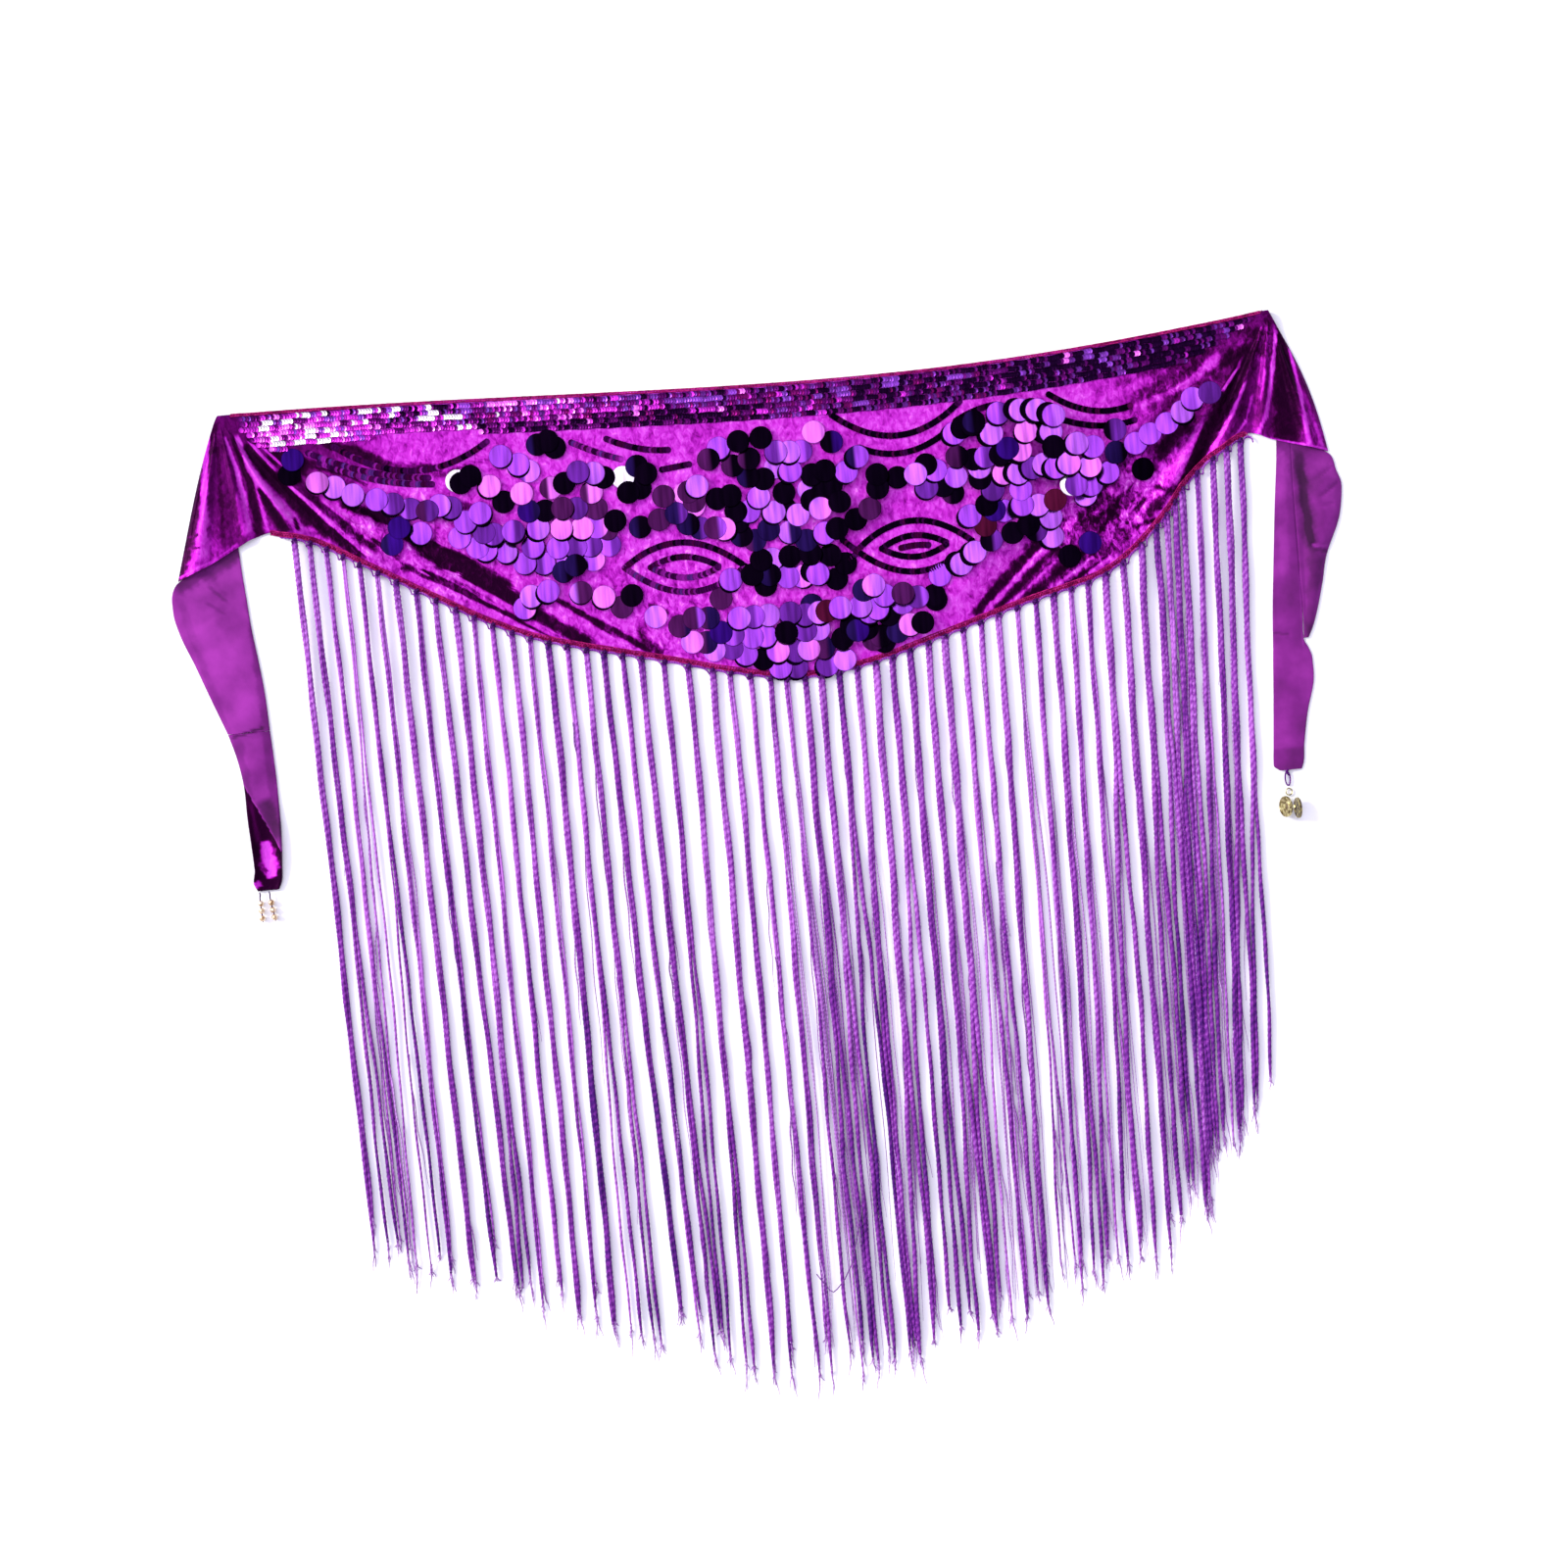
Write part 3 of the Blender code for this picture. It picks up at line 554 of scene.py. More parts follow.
velvet = make_velvet()
hem_edge = Edge(HEM)
stations = hem_stations(hem_edge)
panel_flat, panel_lift, panel_side = [], [], []
for row in range(ROWS + 1):
    v = row / ROWS
    for station in stations:
        from_right = hem_edge.length - station
        spot = top_point(station / hem_edge.length).lerp(hem_edge.at(station), v)
        spot.x -= WINGS["left"]["bow"] * math.sin(math.pi * v ** 0.6) * clamp(1.0 - station / BOW_REACH)
        spot.x += WINGS["right"]["bow"] * math.sin(math.pi * v) * clamp(1.0 - from_right / BOW_REACH)
        lift = tie_lift(station, WINGS["left"]["over_tie"], spot.y)
        lift += tie_lift(from_right, WINGS["right"]["over_tie"], spot.y)
        panel_flat.append((spot.x, spot.y))
        panel_lift.append(lift)
        panel_side.append(turned_side(station) * turned_side(from_right))
panel_flat = np.array(panel_flat)
pile_tone = np.full(len(panel_flat), PLAIN_TONE)
pile_crush = np.ones(len(panel_flat))
for wing, (near, far, darkness) in WING_TONES.items():
    reach = np.hypot(*(panel_flat - WINGS[wing]["corner"]).T)
    stretched = 1.0 - np.clip((reach - near) / (far - near), 0.0, 1.0)
    pile_tone += (darkness - pile_tone) * stretched
    pile_crush -= SMOOTHED * stretched
for across, down, crushed_reach, more in CRUSHED:
    reach = np.hypot(*(panel_flat - (across, down)).T)
    pile_crush += more * np.exp(-(reach / crushed_reach) ** 2)
# The crease tones are painted shade in the fold valleys and painted highlights on the ridges, over the pile's
# own tone.
panel_tone_and_painted_light, crease_relief = crease_tones(panel_flat, CREASES, pile_tone)
panel_points = []
for (across, down), lift, side, relief in zip(panel_flat, panel_lift, panel_side, crease_relief):
    ripple = 0.35 * math.sin(across * 0.043 + down * 0.021) + 0.22 * math.sin(across * 0.111 - down * 0.09)
    rise = (CLOTH + lift + fold_rise(across, down) + relief + ripple) * side + SHELL * (1.0 - side)
    panel_points.append(place(across, down, max(SHELL, rise)))
panel = grid_mesh("front_panel_cloth", panel_points, ROWS + 1, len(stations))
float_attribute(panel.data, "tone", panel_tone_and_painted_light)
float_attribute(panel.data, "crush", pile_crush)
thicken(panel, SHELL)
panel.data.materials.append(velvet)
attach(panel, "root")
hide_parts("front_panel")

# --- Ties -----------------------------------------------------------------------------------------
# The panel's two narrow ends, turned under the wings and brought out below them with the matte
# knitted side up. The left one has a cross seam and a half twist at its end that shows the foil
# side in a small trough. The right one has a loose fold lying beside its strip.

LEFT_TIE = (                # down, left edge, right edge
    (42, -14.5, -1), (70, -24.8, -0.2), (100, -35.4, 1.5), (118.5, -40.4, 2.3), (123.8, -48.4, 2.6),
    (144, -53.2, 4), (163, -49.5, 5.3), (187, -40.5, 8), (214, -31, 10.5), (242, -20.7, 11.5),
)
LEFT_TIE_END = (
    (242.3, -20.6, 11.5), (262, -15.6, 12.3), (281, -12.8, 12.8), (308, -12.4, 12.8), (331, -11.3, 11.9),
    (347, -10.8, 10.6), (357, -12.6, 9.4), (363.5, -10, 6.5),
)
RIGHT_TIE = (
    (45, 802, 809.7), (70, 800.5, 809.9), (100, 799.5, 810), (150, 793.2, 808.5), (188, 788.6, 807.7),
    (225, 784.2, 807), (251, 781.8, 805.4), (258, 781.2, 808.4), (266, 780.4, 810.6), (283, 778.9, 810),
    (307, 776.6, 803), (331, 774.2, 798), (346, 772.9, 795.8), (350, 777.5, 794),
)
RIGHT_TIE_FOLD = (
    (45, 809.6, 820), (70, 809.8, 826), (100, 810, 830.6), (107.4, 809.9, 832.6), (112.8, 809.7, 839.4),
    (125, 809.1, 843), (136, 808.8, 846), (150, 808.4, 844.4), (162, 808.2, 841.5), (190, 807.7, 829),
    (210, 807.4, 824), (241.5, 806.4, 814), (250.6, 805.6, 809.4),
)
TIE_COLUMNS, TIE_STEP, TIE_TURN = 40, 1.6, 1.6
TIE_CREASES = (             # from across, down, to across, down, width, depth
    (-23, 117, -10, 136, 3, 0.7), (-28, 138, -20, 140, 2.5, 0.5), (-29, 155, -12, 146, 3, 0.6),
    (-16, 244.5, 6, 239, 2, 1), (825, 132, 838, 122, 3, 0.9), (829, 144, 843, 135, 3, 0.9),
    (824, 152, 838, 150, 2.6, 0.6), (819, 181, 830, 186, 3.4, 1.6), (783, 244.5, 794, 247, 2.2, 0.7),
    (800, 160, 792, 168, 5, 0.3),
)
TIE_TONES = (               # as the panel's creases, but on the plain knit: painted shadow below the wings' hems, painted shade in the folds and at the edges, painted highlights on the crowns, and a dark seam
    (-46, 140, -22, 236, 6, 6, 0.12), (-28, 160, -5, 226, 22, 16, 0.36),
    (-50, 124, 5, 101, 17, 16, -0.26), (6, 110, 10, 236, 7, 9, -0.06), (-27, 140, -14, 150, 2.4, 2, 0.1),
    (-24, 128, -12, 140, 3, 2.4, 0), (-14, 249, -10, 300, 8, 9, -0.1), (8, 250, 11, 330, 5, 8, -0.1),
    (1, 296, 11, 324, 12, 12, -0.36), (-17, 245, 7, 239.5, 2.2, 2.2, -0.3),
    (790, 104, 784, 240, 4, 5, -0.06), (802, 104, 796, 200, 6, 8, 0.12),
    (822, 190, 808, 252, 13, 4, -0.2), (836, 118, 834, 172, 12, 8, 0.12),
    (813, 86, 818, 184, 16, 11, -0.22), (814, 86, 818, 180, 9, 5, -0.5),
    (819, 184, 831, 187, 3, 3, -0.32), (819, 181, 831, 183, 2, 2, 0.2),
    (807.5, 200, 804.6, 255, 1.3, 1.3, 0.3), (783, 244.5, 794, 247, 2, 2, -0.2),
    (786, 334, 786, 350, 32, 30, -0.2), (785, 98, 828, 101, 14, 14, -0.32),
    (826, 131, 840, 122, 2.2, 2.2, -0.08), (829, 144, 843, 135, 2.2, 2.2, -0.08),
    (824, 152, 838, 150, 2, 2, -0.02), (790, 292, 800, 300, 16, 16, 0),
)
TURN_FROM, TURN_TO = (-13.0, 281.0), (10.5, 333.0)      # the edge turned over at the left end
# A painted highlight along the turned edge: how bright, how wide.
TURN_PAINTED_HIGHLIGHT, TURN_PAINTED_HIGHLIGHT_WIDTH = 0.35, 0.9
END_KNIT_TONE, END_FOIL_TONE = 0.12, -0.95
END_TONES = (               # creases on the foil side, past the turned edge: painted shade and painted highlights in the trough
    (-8.5, 296, -5.5, 326, 3, 4.4, -0.55), (-0.6, 326, 0.8, 339, 8, 12, 0.5),
    (0.8, 339, 1.6, 348, 12, 12.5, 0.6), (1.6, 348, 2.4, 354, 11.5, 7, 0.55),
    (7, 332, 4.6, 337, 3, 3, -0.2), (-4.4, 346, -1, 349, 3, 3.4, -0.3),
    (-11, 356, -9.5, 361, 8.5, 8, 0.25),
)


def left_tie_rise(part, down):
    """Height of the left tie's crown, at a part of its width."""
    return 2.6 * math.sin(math.pi * part ** 0.8) * ease((down - 124.0) / 40.0)


def left_end_rise(part, down):
    """The crown flattens, and the two edges rise on either side of the trough."""
    crown = left_tie_rise(part, down) * (1.0 - ease((down - 270.0) / 50.0))
    trough = 5.0 * abs(2.0 * part - 1.0) ** 2.2
    return crown + trough * ease((down - 285.0) / 45.0) * (1.0 - 0.6 * ease((down - 340.0) / 24.0))


def right_tie_rise(part, down):
    """Height of the right tie's low crown."""
    return 1.1 * math.sin(math.pi * part) * ease((down - 105.0) / 40.0)


def right_fold_rise(part, down):
    """Height of the loose fold beside the right tie, which sinks towards its lower end."""
    roll = math.sin(math.pi * clamp((part - 0.2) / 0.8) ** 0.9)
    return 4.2 * roll * ease((down - 112.0) / 26.0) * (1.0 - ease((down - 170.0) / 90.0) * 0.85)


def tie_relief(across, down):
    """Small creases pressed into the ties, and a slow ripple."""
    relief = 0.18 * math.sin(across * 0.21 + down * 0.05) * math.sin(down * 0.083)
    for x0, y0, x1, y1, width, depth in TIE_CREASES:
        run_x, run_y = x1 - x0, y1 - y0
        along = ((across - x0) * run_x + (down - y0) * run_y) / (run_x ** 2 + run_y ** 2)
        along = clamp(along)
        away = math.hypot(across - x0 - along * run_x, down - y0 - along * run_y)
        relief -= depth * math.exp(-(2.0 * away / width) ** 2)
    return relief


def make_tie(name, table, rise):
    """A stretch of tie as a sheet with softly rolled edges."""
    places = [table[0][0]]
    for upper, lower in zip(table, table[1:]):
        steps = math.ceil((lower[0] - upper[0]) / TIE_STEP)
        places += [upper[0] + (lower[0] - upper[0]) * step / steps for step in range(1, steps + 1)]
    points = []
    for down in places:
        left, right = between(table, down, 1), between(table, down, 2)
        width = right - left
        for column in range(TIE_COLUMNS + 1):
            part = 0.5 - 0.5 * math.cos(math.pi * column / TIE_COLUMNS)
            across = left + width * part
            turn = clamp(min(part, 1.0 - part) * width / TIE_TURN)
            rolled = math.sqrt(clamp(1.0 - (1.0 - turn) ** 2))
            height = CLOTH + rise(part, down) + tie_relief(across, down)
            points.append(place(across, down, max(SHELL, height * rolled + SHELL * (1.0 - rolled))))
    return grid_mesh(name, points, len(places), TIE_COLUMNS + 1)


def make_knit_group():
    """A fine knit: rows of small loops as a height, and a soft mottle."""
    group, given, result = new_group("fine_knit", [("Loops", "NodeSocketFloat", 900.0)],
                                     [("Mottle", "NodeSocketFloat"), ("Height", "NodeSocketFloat")])
    coords = object_coords(group)
    loops = {"Vector": coords, "Scale": given.outputs["Loops"], "Distortion": 1.2, "Detail Scale": 0.6}
    wales, courses = (add_node(group, "TexWave", loops, bands_direction=way).outputs["Fac"] for way in "XY")
    set_inputs(group, result, {"Mottle": noise(group, coords, 38.0, 5.0),
                               "Height": calculate(group, "MULTIPLY", wales, courses)})
    return group


knit_group = make_knit_group()


def make_knit_back():
    """The velvet's matte back."""
    finish, tree, shader = shader_material("velvet_back", 0.78)
    knit = add_node(tree, "Group", {"Loops": 420.0}, node_tree=knit_group)
    shade = calculate(tree, "ADD", attribute(tree, "tone"), knit.outputs["Mottle"])
    colour = colour_ramp(tree, shade, ((0.0, srgb(52, 4, 54)), (0.5, srgb(116, 26, 120)),
                                       (1.0, srgb(160, 50, 162))))
    set_inputs(tree, shader, {"Base Color": colour, "Specular IOR Level": 0.15, "Sheen Weight": 0.03})
    add_bump(tree, shader, knit.outputs["Height"], 0.00025, 0.5)
    return finish


knit_back = make_knit_back()


def flat_places(mesh):
    """Across and down, in millimetres, of every point of a mesh."""
    points = np.array([vertex.co[:] for vertex in mesh.vertices]) / MM
    return np.column_stack((points[:, 0] + MIDDLE_ACROSS, MIDDLE_DOWN - points[:, 1]))


def past_turn(across, down):
    """How far a place lies beyond the left end's turned edge, in millimetres."""
    run = Vector(TURN_TO) - Vector(TURN_FROM)
    run.normalize()
    return (down - TURN_FROM[1]) * run.x - (across - TURN_FROM[0]) * run.y


for tie_name, tie_table, tie_rise, tie_tone, tie_flat, tie_area in (
        ("tie_left", LEFT_TIE, left_tie_rise, 0.26, (0.066, 0.205), 0.0094),
        ("tie_right", RIGHT_TIE, right_tie_rise, 0.02, (0.030, 0.307), 0.0070),
        ("tie_right_fold", RIGHT_TIE_FOLD, right_fold_rise, 0.0, (0.042, 0.210), 0.0050)):
    tie = make_tie(tie_name + "_cloth", tie_table, tie_rise)
    thicken(tie, SHELL)
    tie_places = flat_places(tie.data)
    # Painted shadow, shade and highlights on the knit, over each tie's own tone.
    tie_tone_and_painted_light, _ = crease_tones(tie_places, TIE_TONES, tie_tone)
    float_attribute(tie.data, "tone", tie_tone_and_painted_light)
    tie.data.materials.append(knit_back)
    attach(tie, "root")
    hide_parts(tie_name)

tie_end = make_tie("tie_left_end_cloth", LEFT_TIE_END, left_end_rise)
thicken(tie_end, SHELL)
end_places = flat_places(tie_end.data)
knit_tone_and_painted_light, _ = crease_tones(end_places, TIE_TONES, END_KNIT_TONE)
foil_tone_and_painted_light, _ = crease_tones(end_places, END_TONES, END_FOIL_TONE)
turned = past_turn(end_places[:, 0], end_places[:, 1])
# Painted highlight along the turned edge on the knit side.
knit_tone_and_painted_light += TURN_PAINTED_HIGHLIGHT * np.exp(-(turned / TURN_PAINTED_HIGHLIGHT_WIDTH) ** 2)
float_attribute(tie_end.data, "tone", np.where(turned > 0.0, foil_tone_and_painted_light, knit_tone_and_painted_light))
tie_end.data.materials.append(knit_back)
tie_end.data.materials.append(velvet)
for face in tie_end.data.polygons:
    middle = face.center / MM
    if face.normal.z > 0.0 and past_turn(middle.x + MIDDLE_ACROSS, MIDDLE_DOWN - middle.y) > 0.0:
        face.material_index = 1
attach(tie_end, "root")
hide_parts("tie_left_end")

# --- Overlock --------------------------------------------------------------------------------------
# Crimson serging thread over the raw top edge and over the join of the hem and its fringe: a
# chain along the edge, a needle line inside it and slanting loops between the two.

STITCH_PITCH = 2.1
CHAIN_RADIUS, NEEDLE_RADIUS, LOOP_RADIUS, FILLER_RADIUS = 0.62, 0.5, 0.42, 0.75
FILLER_ROWS = (0.4, 1.2)    # looper thread lying under the loops, out from the cloth's edge
TOP_STITCHES = {"first": 6.0, "last": 797.0, "inside": 1.4, "outside": 0.2}
HEM_STITCHES = {"first": 27.0, "last": 777.0, "inside": 1.3, "outside": 1.7}

cloth_tree = BVHTree.FromPolygons([vertex.co.copy() for vertex in panel.data.vertices],
                                  [tuple(face.vertices) for face in panel.data.polygons])


def cloth_at(across, down):
    """The cloth's face under a place, and its normal; the flat cloth where there is none."""
    above = place(across, down, 60.0)
    spot, normal, _, _ = cloth_tree.ray_cast(above, Vector((0.0, 0.0, -1.0)))
    if spot is None:
        return place(across, down, CLOTH), Vector((0.0, 0.0, 1.0))
    return spot, normal if normal.z > 0.0 else -normal


class Strands:
    """Round strands along paths in metres, collected into one mesh of closed tubes."""

    def __init__(self):
        self.points, self.faces, self.shades, self.along = [], [], [], []

    def add(self, path, radius, sides=5, shade=0.5, twist=0.0, lobes=0.0):
        path = np.asarray([tuple(spot) for spot in path], dtype=float)
        count = len(path)
        radius = np.broadcast_to(np.asarray(radius, dtype=float) * MM, (count,))
        tangent = np.gradient(path, axis=0)
        tangent /= np.linalg.norm(tangent, axis=1)[:, None]
        side = np.cross(tangent, (0.0, 0.0, 1.0))
        flat = np.linalg.norm(side, axis=1) < 0.2
        side[flat] = np.cross(tangent[flat], (0.0, 1.0, 0.0))
        side /= np.linalg.norm(side, axis=1)[:, None]
        upward = np.cross(side, tangent)
        steps = np.concatenate(([0.0], np.cumsum(np.linalg.norm(np.diff(path, axis=0), axis=1))))
        turn = 2.0 * np.pi * np.arange(sides) / sides
        phase = turn[None, :] + (steps * twist)[:, None]
        reach = radius[:, None] * (1.0 + lobes * np.cos(2.0 * turn))[None, :]
        ring = (path[:, None, :] + (reach * np.cos(phase))[..., None] * side[:, None, :]
                + (reach * np.sin(phase))[..., None] * upward[:, None, :])
        base = len(self.points)
        self.points.extend(map(tuple, ring.reshape(-1, 3)))
        for row in range(count - 1):
            start = base + row * sides
            for column in range(sides):
                other = (column + 1) % sides
                self.faces.append((start + column, start + sides + column,
                                   start + sides + other, start + other))
        self.faces.append(tuple(range(base, base + sides)))
        last = base + (count - 1) * sides
        self.faces.append(tuple(reversed(range(last, last + sides))))
        self.shades.extend(np.repeat(np.broadcast_to(shade, (count,)), sides))
        self.along.extend(np.repeat(steps / MM, sides))

    def finish(self, name, finish_material):
        piece = link_piece(name, self.points, self.faces)
        piece.data.polygons.foreach_set("use_smooth", np.ones(len(self.faces), dtype=bool))
        float_attribute(piece.data, "shade", self.shades)
        float_attribute(piece.data, "along", self.along)
        piece.data.materials.append(finish_material)
        return piece


def hem_spot(distance, out, rise):
    """A place beside the hem, out from the cloth's edge, above the folds."""
    spot = hem_edge.at(distance) + hem_edge.outward(distance) * out
    return place(spot.x, spot.y, fold_rise(spot.x, spot.y) + rise)


def top_spot(distance, out, rise):
    """A place beside the top edge: out from it, or in on the cloth where out is negative."""
    across = TOP_STITCHES["first"] + distance
    if out > -0.5:
        return place(across, top_edge(across) - out, fold_rise(across, top_edge(across)) + rise - 0.5)
    spot, _ = cloth_at(across, top_edge(across) - out)
    return spot + Vector((0.0, 0.0, (rise - CLOTH) * MM))


def serge(strands, spot_at, start, end, inside, outside):
    """Chain, needle line and slanting loops of one serged edge."""
    count = int((end - start) / STITCH_PITCH)
    chain, needle, loops, shades = [], [], [], []
    for stitch in range(count + 1):
        distance = start + (end - start) * stitch / count
        jog = 0.35 * (uneven(stitch * 1.7) - 0.5)
        chain.append(spot_at(distance, outside + jog * 0.5, 1.5 + 0.2 * (stitch % 2)))
        needle.append(spot_at(distance, -inside + jog, 2.05))
        step = 0.5 * STITCH_PITCH
        loops += [spot_at(distance, -inside + 0.2 + jog, 2.0), spot_at(distance + 0.35 * step, -0.2, 2.35),
                  spot_at(distance + 0.7 * step, outside - 0.2, 1.75),
                  spot_at(distance + 1.2 * step, 0.3, 2.3)]
        shades += [0.2 + 0.8 * uneven(stitch * 3.1)] * 4
    for out in FILLER_ROWS:
        if out < outside:
            row = [spot_at(start + (end - start) * stitch / count, out, 1.0) for stitch in range(count + 1)]
            strands.add(row, FILLER_RADIUS, 5, 0.16 + 0.2 * out / outside)
    strands.add(chain, CHAIN_RADIUS, 5, [0.1 + 0.7 * uneven(index * 0.7) for index in range(count + 1)])
    strands.add(needle, NEEDLE_RADIUS, 5, [0.2 + 0.8 * uneven(index * 0.9) for index in range(count + 1)])
    strands.add(loops, LOOP_RADIUS, 4, shades)


def make_yarn_group():
    """Spun thread: fibres that wind along the strand, as a mask and a height."""
    group, given, result = new_group("spun_thread", [("Winding", "NodeSocketFloat", 2.2)],
                                     [("Fibre", "NodeSocketFloat"), ("Height", "NodeSocketFloat")])
    coords = object_coords(group)
    split = add_node(group, "SeparateXYZ", {0: coords})
    slant = calculate(group, "MULTIPLY", split.outputs["X"], 900.0)
    wound = calculate(group, "MULTIPLY_ADD", attribute(group, "along"), given.outputs["Winding"], slant)
    wave = calculate(group, "SINE", wound)
    fibre = calculate(group, "MULTIPLY_ADD", wave, 0.22, noise(group, coords, 620.0, 3.0))
    set_inputs(group, result, {"Fibre": fibre, "Height": fibre})
    return group


yarn_group = make_yarn_group()


def make_thread_material(name, dark, mid, light, roughness, winding):
    """Dyed thread, with painted shade between its fibres."""
    finish, tree, shader = shader_material(name, roughness)
    yarn = add_node(tree, "Group", {"Winding": winding}, node_tree=yarn_group)
    total = calculate(tree, "ADD", attribute(tree, "shade"), yarn.outputs["Fibre"])
    halved = calculate(tree, "MULTIPLY", total, 0.5)
    colour = colour_ramp(tree, halved, ((0.18, dark), (0.50, mid), (0.82, light)))
    set_inputs(tree, shader, {"Base Color": colour, "Sheen Weight": 0.0, "Specular IOR Level": 0.08})
    add_bump(tree, shader, yarn.outputs["Height"], 0.0002, 0.7)
    return finish


crimson_thread = make_thread_material("crimson_thread", srgb(64, 0, 48), srgb(134, 4, 76),
                                      srgb(196, 40, 130), 0.7, 5.0)

top_serging = Strands()
serge(top_serging, top_spot, 0.0, TOP_STITCHES["last"] - TOP_STITCHES["first"],
      TOP_STITCHES["inside"], TOP_STITCHES["outside"])
top_serging = top_serging.finish("top_overlock", crimson_thread)
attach(top_serging, "root")

hem_start = hem_edge.distance_at(HEM_STITCHES["first"])
hem_end = hem_edge.distance_at(HEM_STITCHES["last"])
hem_serging = Strands()
serge(hem_serging, hem_spot, hem_start, hem_end, HEM_STITCHES["inside"], HEM_STITCHES["outside"])
hem_serging = hem_serging.finish("hem_overlock", crimson_thread)
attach(hem_serging, "root")

# --- Fringe -----------------------------------------------------------------------------------------
# A crocheted heading under the hem's serging, and long cords knotted into it. Each cord is two
# loosely twisted rayon plies that open towards their frayed ends.

HEADER_WIDTH, CORD_START = 4.0, 2.5         # the cords start this far below the heading
FIRST_CORD = 45.0
CORD_RUNS = (               # cords in the run, spacing
    (4, 11.6), (6, 13.8), (9, 13.9), (3, 18.2), (3, 14.6), (3, 13), (19, 14), (3, 7.6), (4, 11.8),
)
CORD_LENGTH, CORD_SHORTENING, CORD_UNEVEN = 547.0, 30.0, 34.0
SHORTER_AT, SHORTER_REACH, SHORTER_BY = 185.0, 85.0, 15.0
DRIFT = ((0.0, 8.0), (200.0, 3.0), (430.0, -6.0), (620.0, -16.0), (800.0, -31.0))
BUNCHES = (                 # where cords lie together near their ends, how much, from how far
    (70, 0.4, 12), (148, 0.5, 14), (302, 0.62, 22), (354, 0.6, 15), (392, 0.3, 12), (456, 0.5, 16),
    (532, 0.5, 16), (606, 0.4, 13), (700, 0.45, 16), (742, 0.4, 10),
)
CLEAR_OF_FLOOR = 0.3
PLY_WIDTH, PLY_GAP = 2.3, 0.5
PLY_RINGS, PLY_SIDES = 170, 6
PLY_RADIUS, PLY_TAPER, PLY_TWIST, PLY_LOBES = 1.64, 0.16, 620.0, 0.045
LOOSE_FROM = 420.0          # from here to the right the plies are thicker and more of them open
OPENINGS = {"left": (0.34, 2.8), "right": (0.85, 4.8)}      # share of the cords that open, how far
TWISTED_SHARE = 0.86        # the other plies have lost their twist, and are thinner and paler
TOP_SHADE, END_DIMMING = 0.78, 0.38
FRAYS_PER_PLY, FRAY_SPREAD, FRAY_SHORTEST, FRAY_GROWTH = 5, 6.5, 4.0, 20.0
FRAY_TAPER = ((-0.15, 0.7), (0.15, 0.6), (0.4, 0.46), (0.6, 0.36), (0.8, 0.26), (1.0, 0.16))
STRAYS, STRAY_POINTS, STRAY_LENGTH, STRAY_RISE = 250, 24, 520.0, 2.6
PULLED_THREAD = (           # the one long thread that loops out past the middle cords' ends
    (386, 697), (388.5, 701), (392, 706), (395, 710.5), (397.5, 712), (401, 709.5), (407, 703),
    (413, 693), (417, 681), (420.5, 668), (424, 655), (427, 640), (428, 628),
)
PULLED_RADIUS, PULLED_RISE = 0.42, 6.3
KNOT_TAPER = ((0.0, 0.9), (0.15, 1.8), (0.35, 2.1), (0.5, 1.7), (0.65, 1.9), (0.85, 1.5), (1.0, 0.9))
SCALLOPS, SCALLOP_STEPS = ((3.2, 3.1), (2.4, 2.2)), 8       # how flat each lies, how far out at its middle
HEADING_FROM, HEADING_SHORTER, HEADING_PITCH = 8.0, 14.0, 1.5


def cord_places():
    """Across of each cord, from the left, a little uneven."""
    places = [FIRST_CORD]
    for count, spacing in CORD_RUNS:
        for _ in range(count):
            step = spacing + 1.6 * (uneven(len(places)) - 0.5)
            places.append(places[-1] + step)
    return places


def ply_opening(index, across, depth):
    """How far each ply of a cord has come away from its middle; more of them open on the right."""
    share, most = OPENINGS["right" if across > LOOSE_FROM else "left"]
    if uneven(index * 1.13) > share:
        return 0.0
    first = 0.15 + 0.5 * uneven(index * 0.77)
    return most * (0.35 + 0.65 * uneven(index * 1.91)) * ease((depth - first) / 0.45)


def ply_places(cords, depth):
    """Where each ply is at a depth from 0 at the hem to 1 at its end, in order and apart."""
    apart = 0.5 * (PLY_WIDTH + PLY_GAP)
    places = []
    for index, across in enumerate(cords):
        drift = between(DRIFT, across, 1) * depth
        bunch = 3.0 * math.sin(across * 0.047 + 0.8) * depth ** 1.5
        for centre, pull, reach in BUNCHES:
            bunch += (centre - across) * pull * math.exp(-((across - centre) / reach) ** 2) * depth ** 2
        stray = 7.0 * (uneven(index * 2.0) - 0.5) * depth ** 1.3
        for side in (-1.0, 1.0):
            wanted = across + drift + bunch + stray + side * (apart + ply_opening(index, across, depth))
            least = places[-1] + PLY_WIDTH + 0.1 if places else wanted
            places.append(max(wanted, least))
    return places


def cord_start(across):
    """Down of the place where a cord leaves the heading."""
    return hem_edge.at(hem_edge.distance_at(across)).y + HEADER_WIDTH + CORD_START


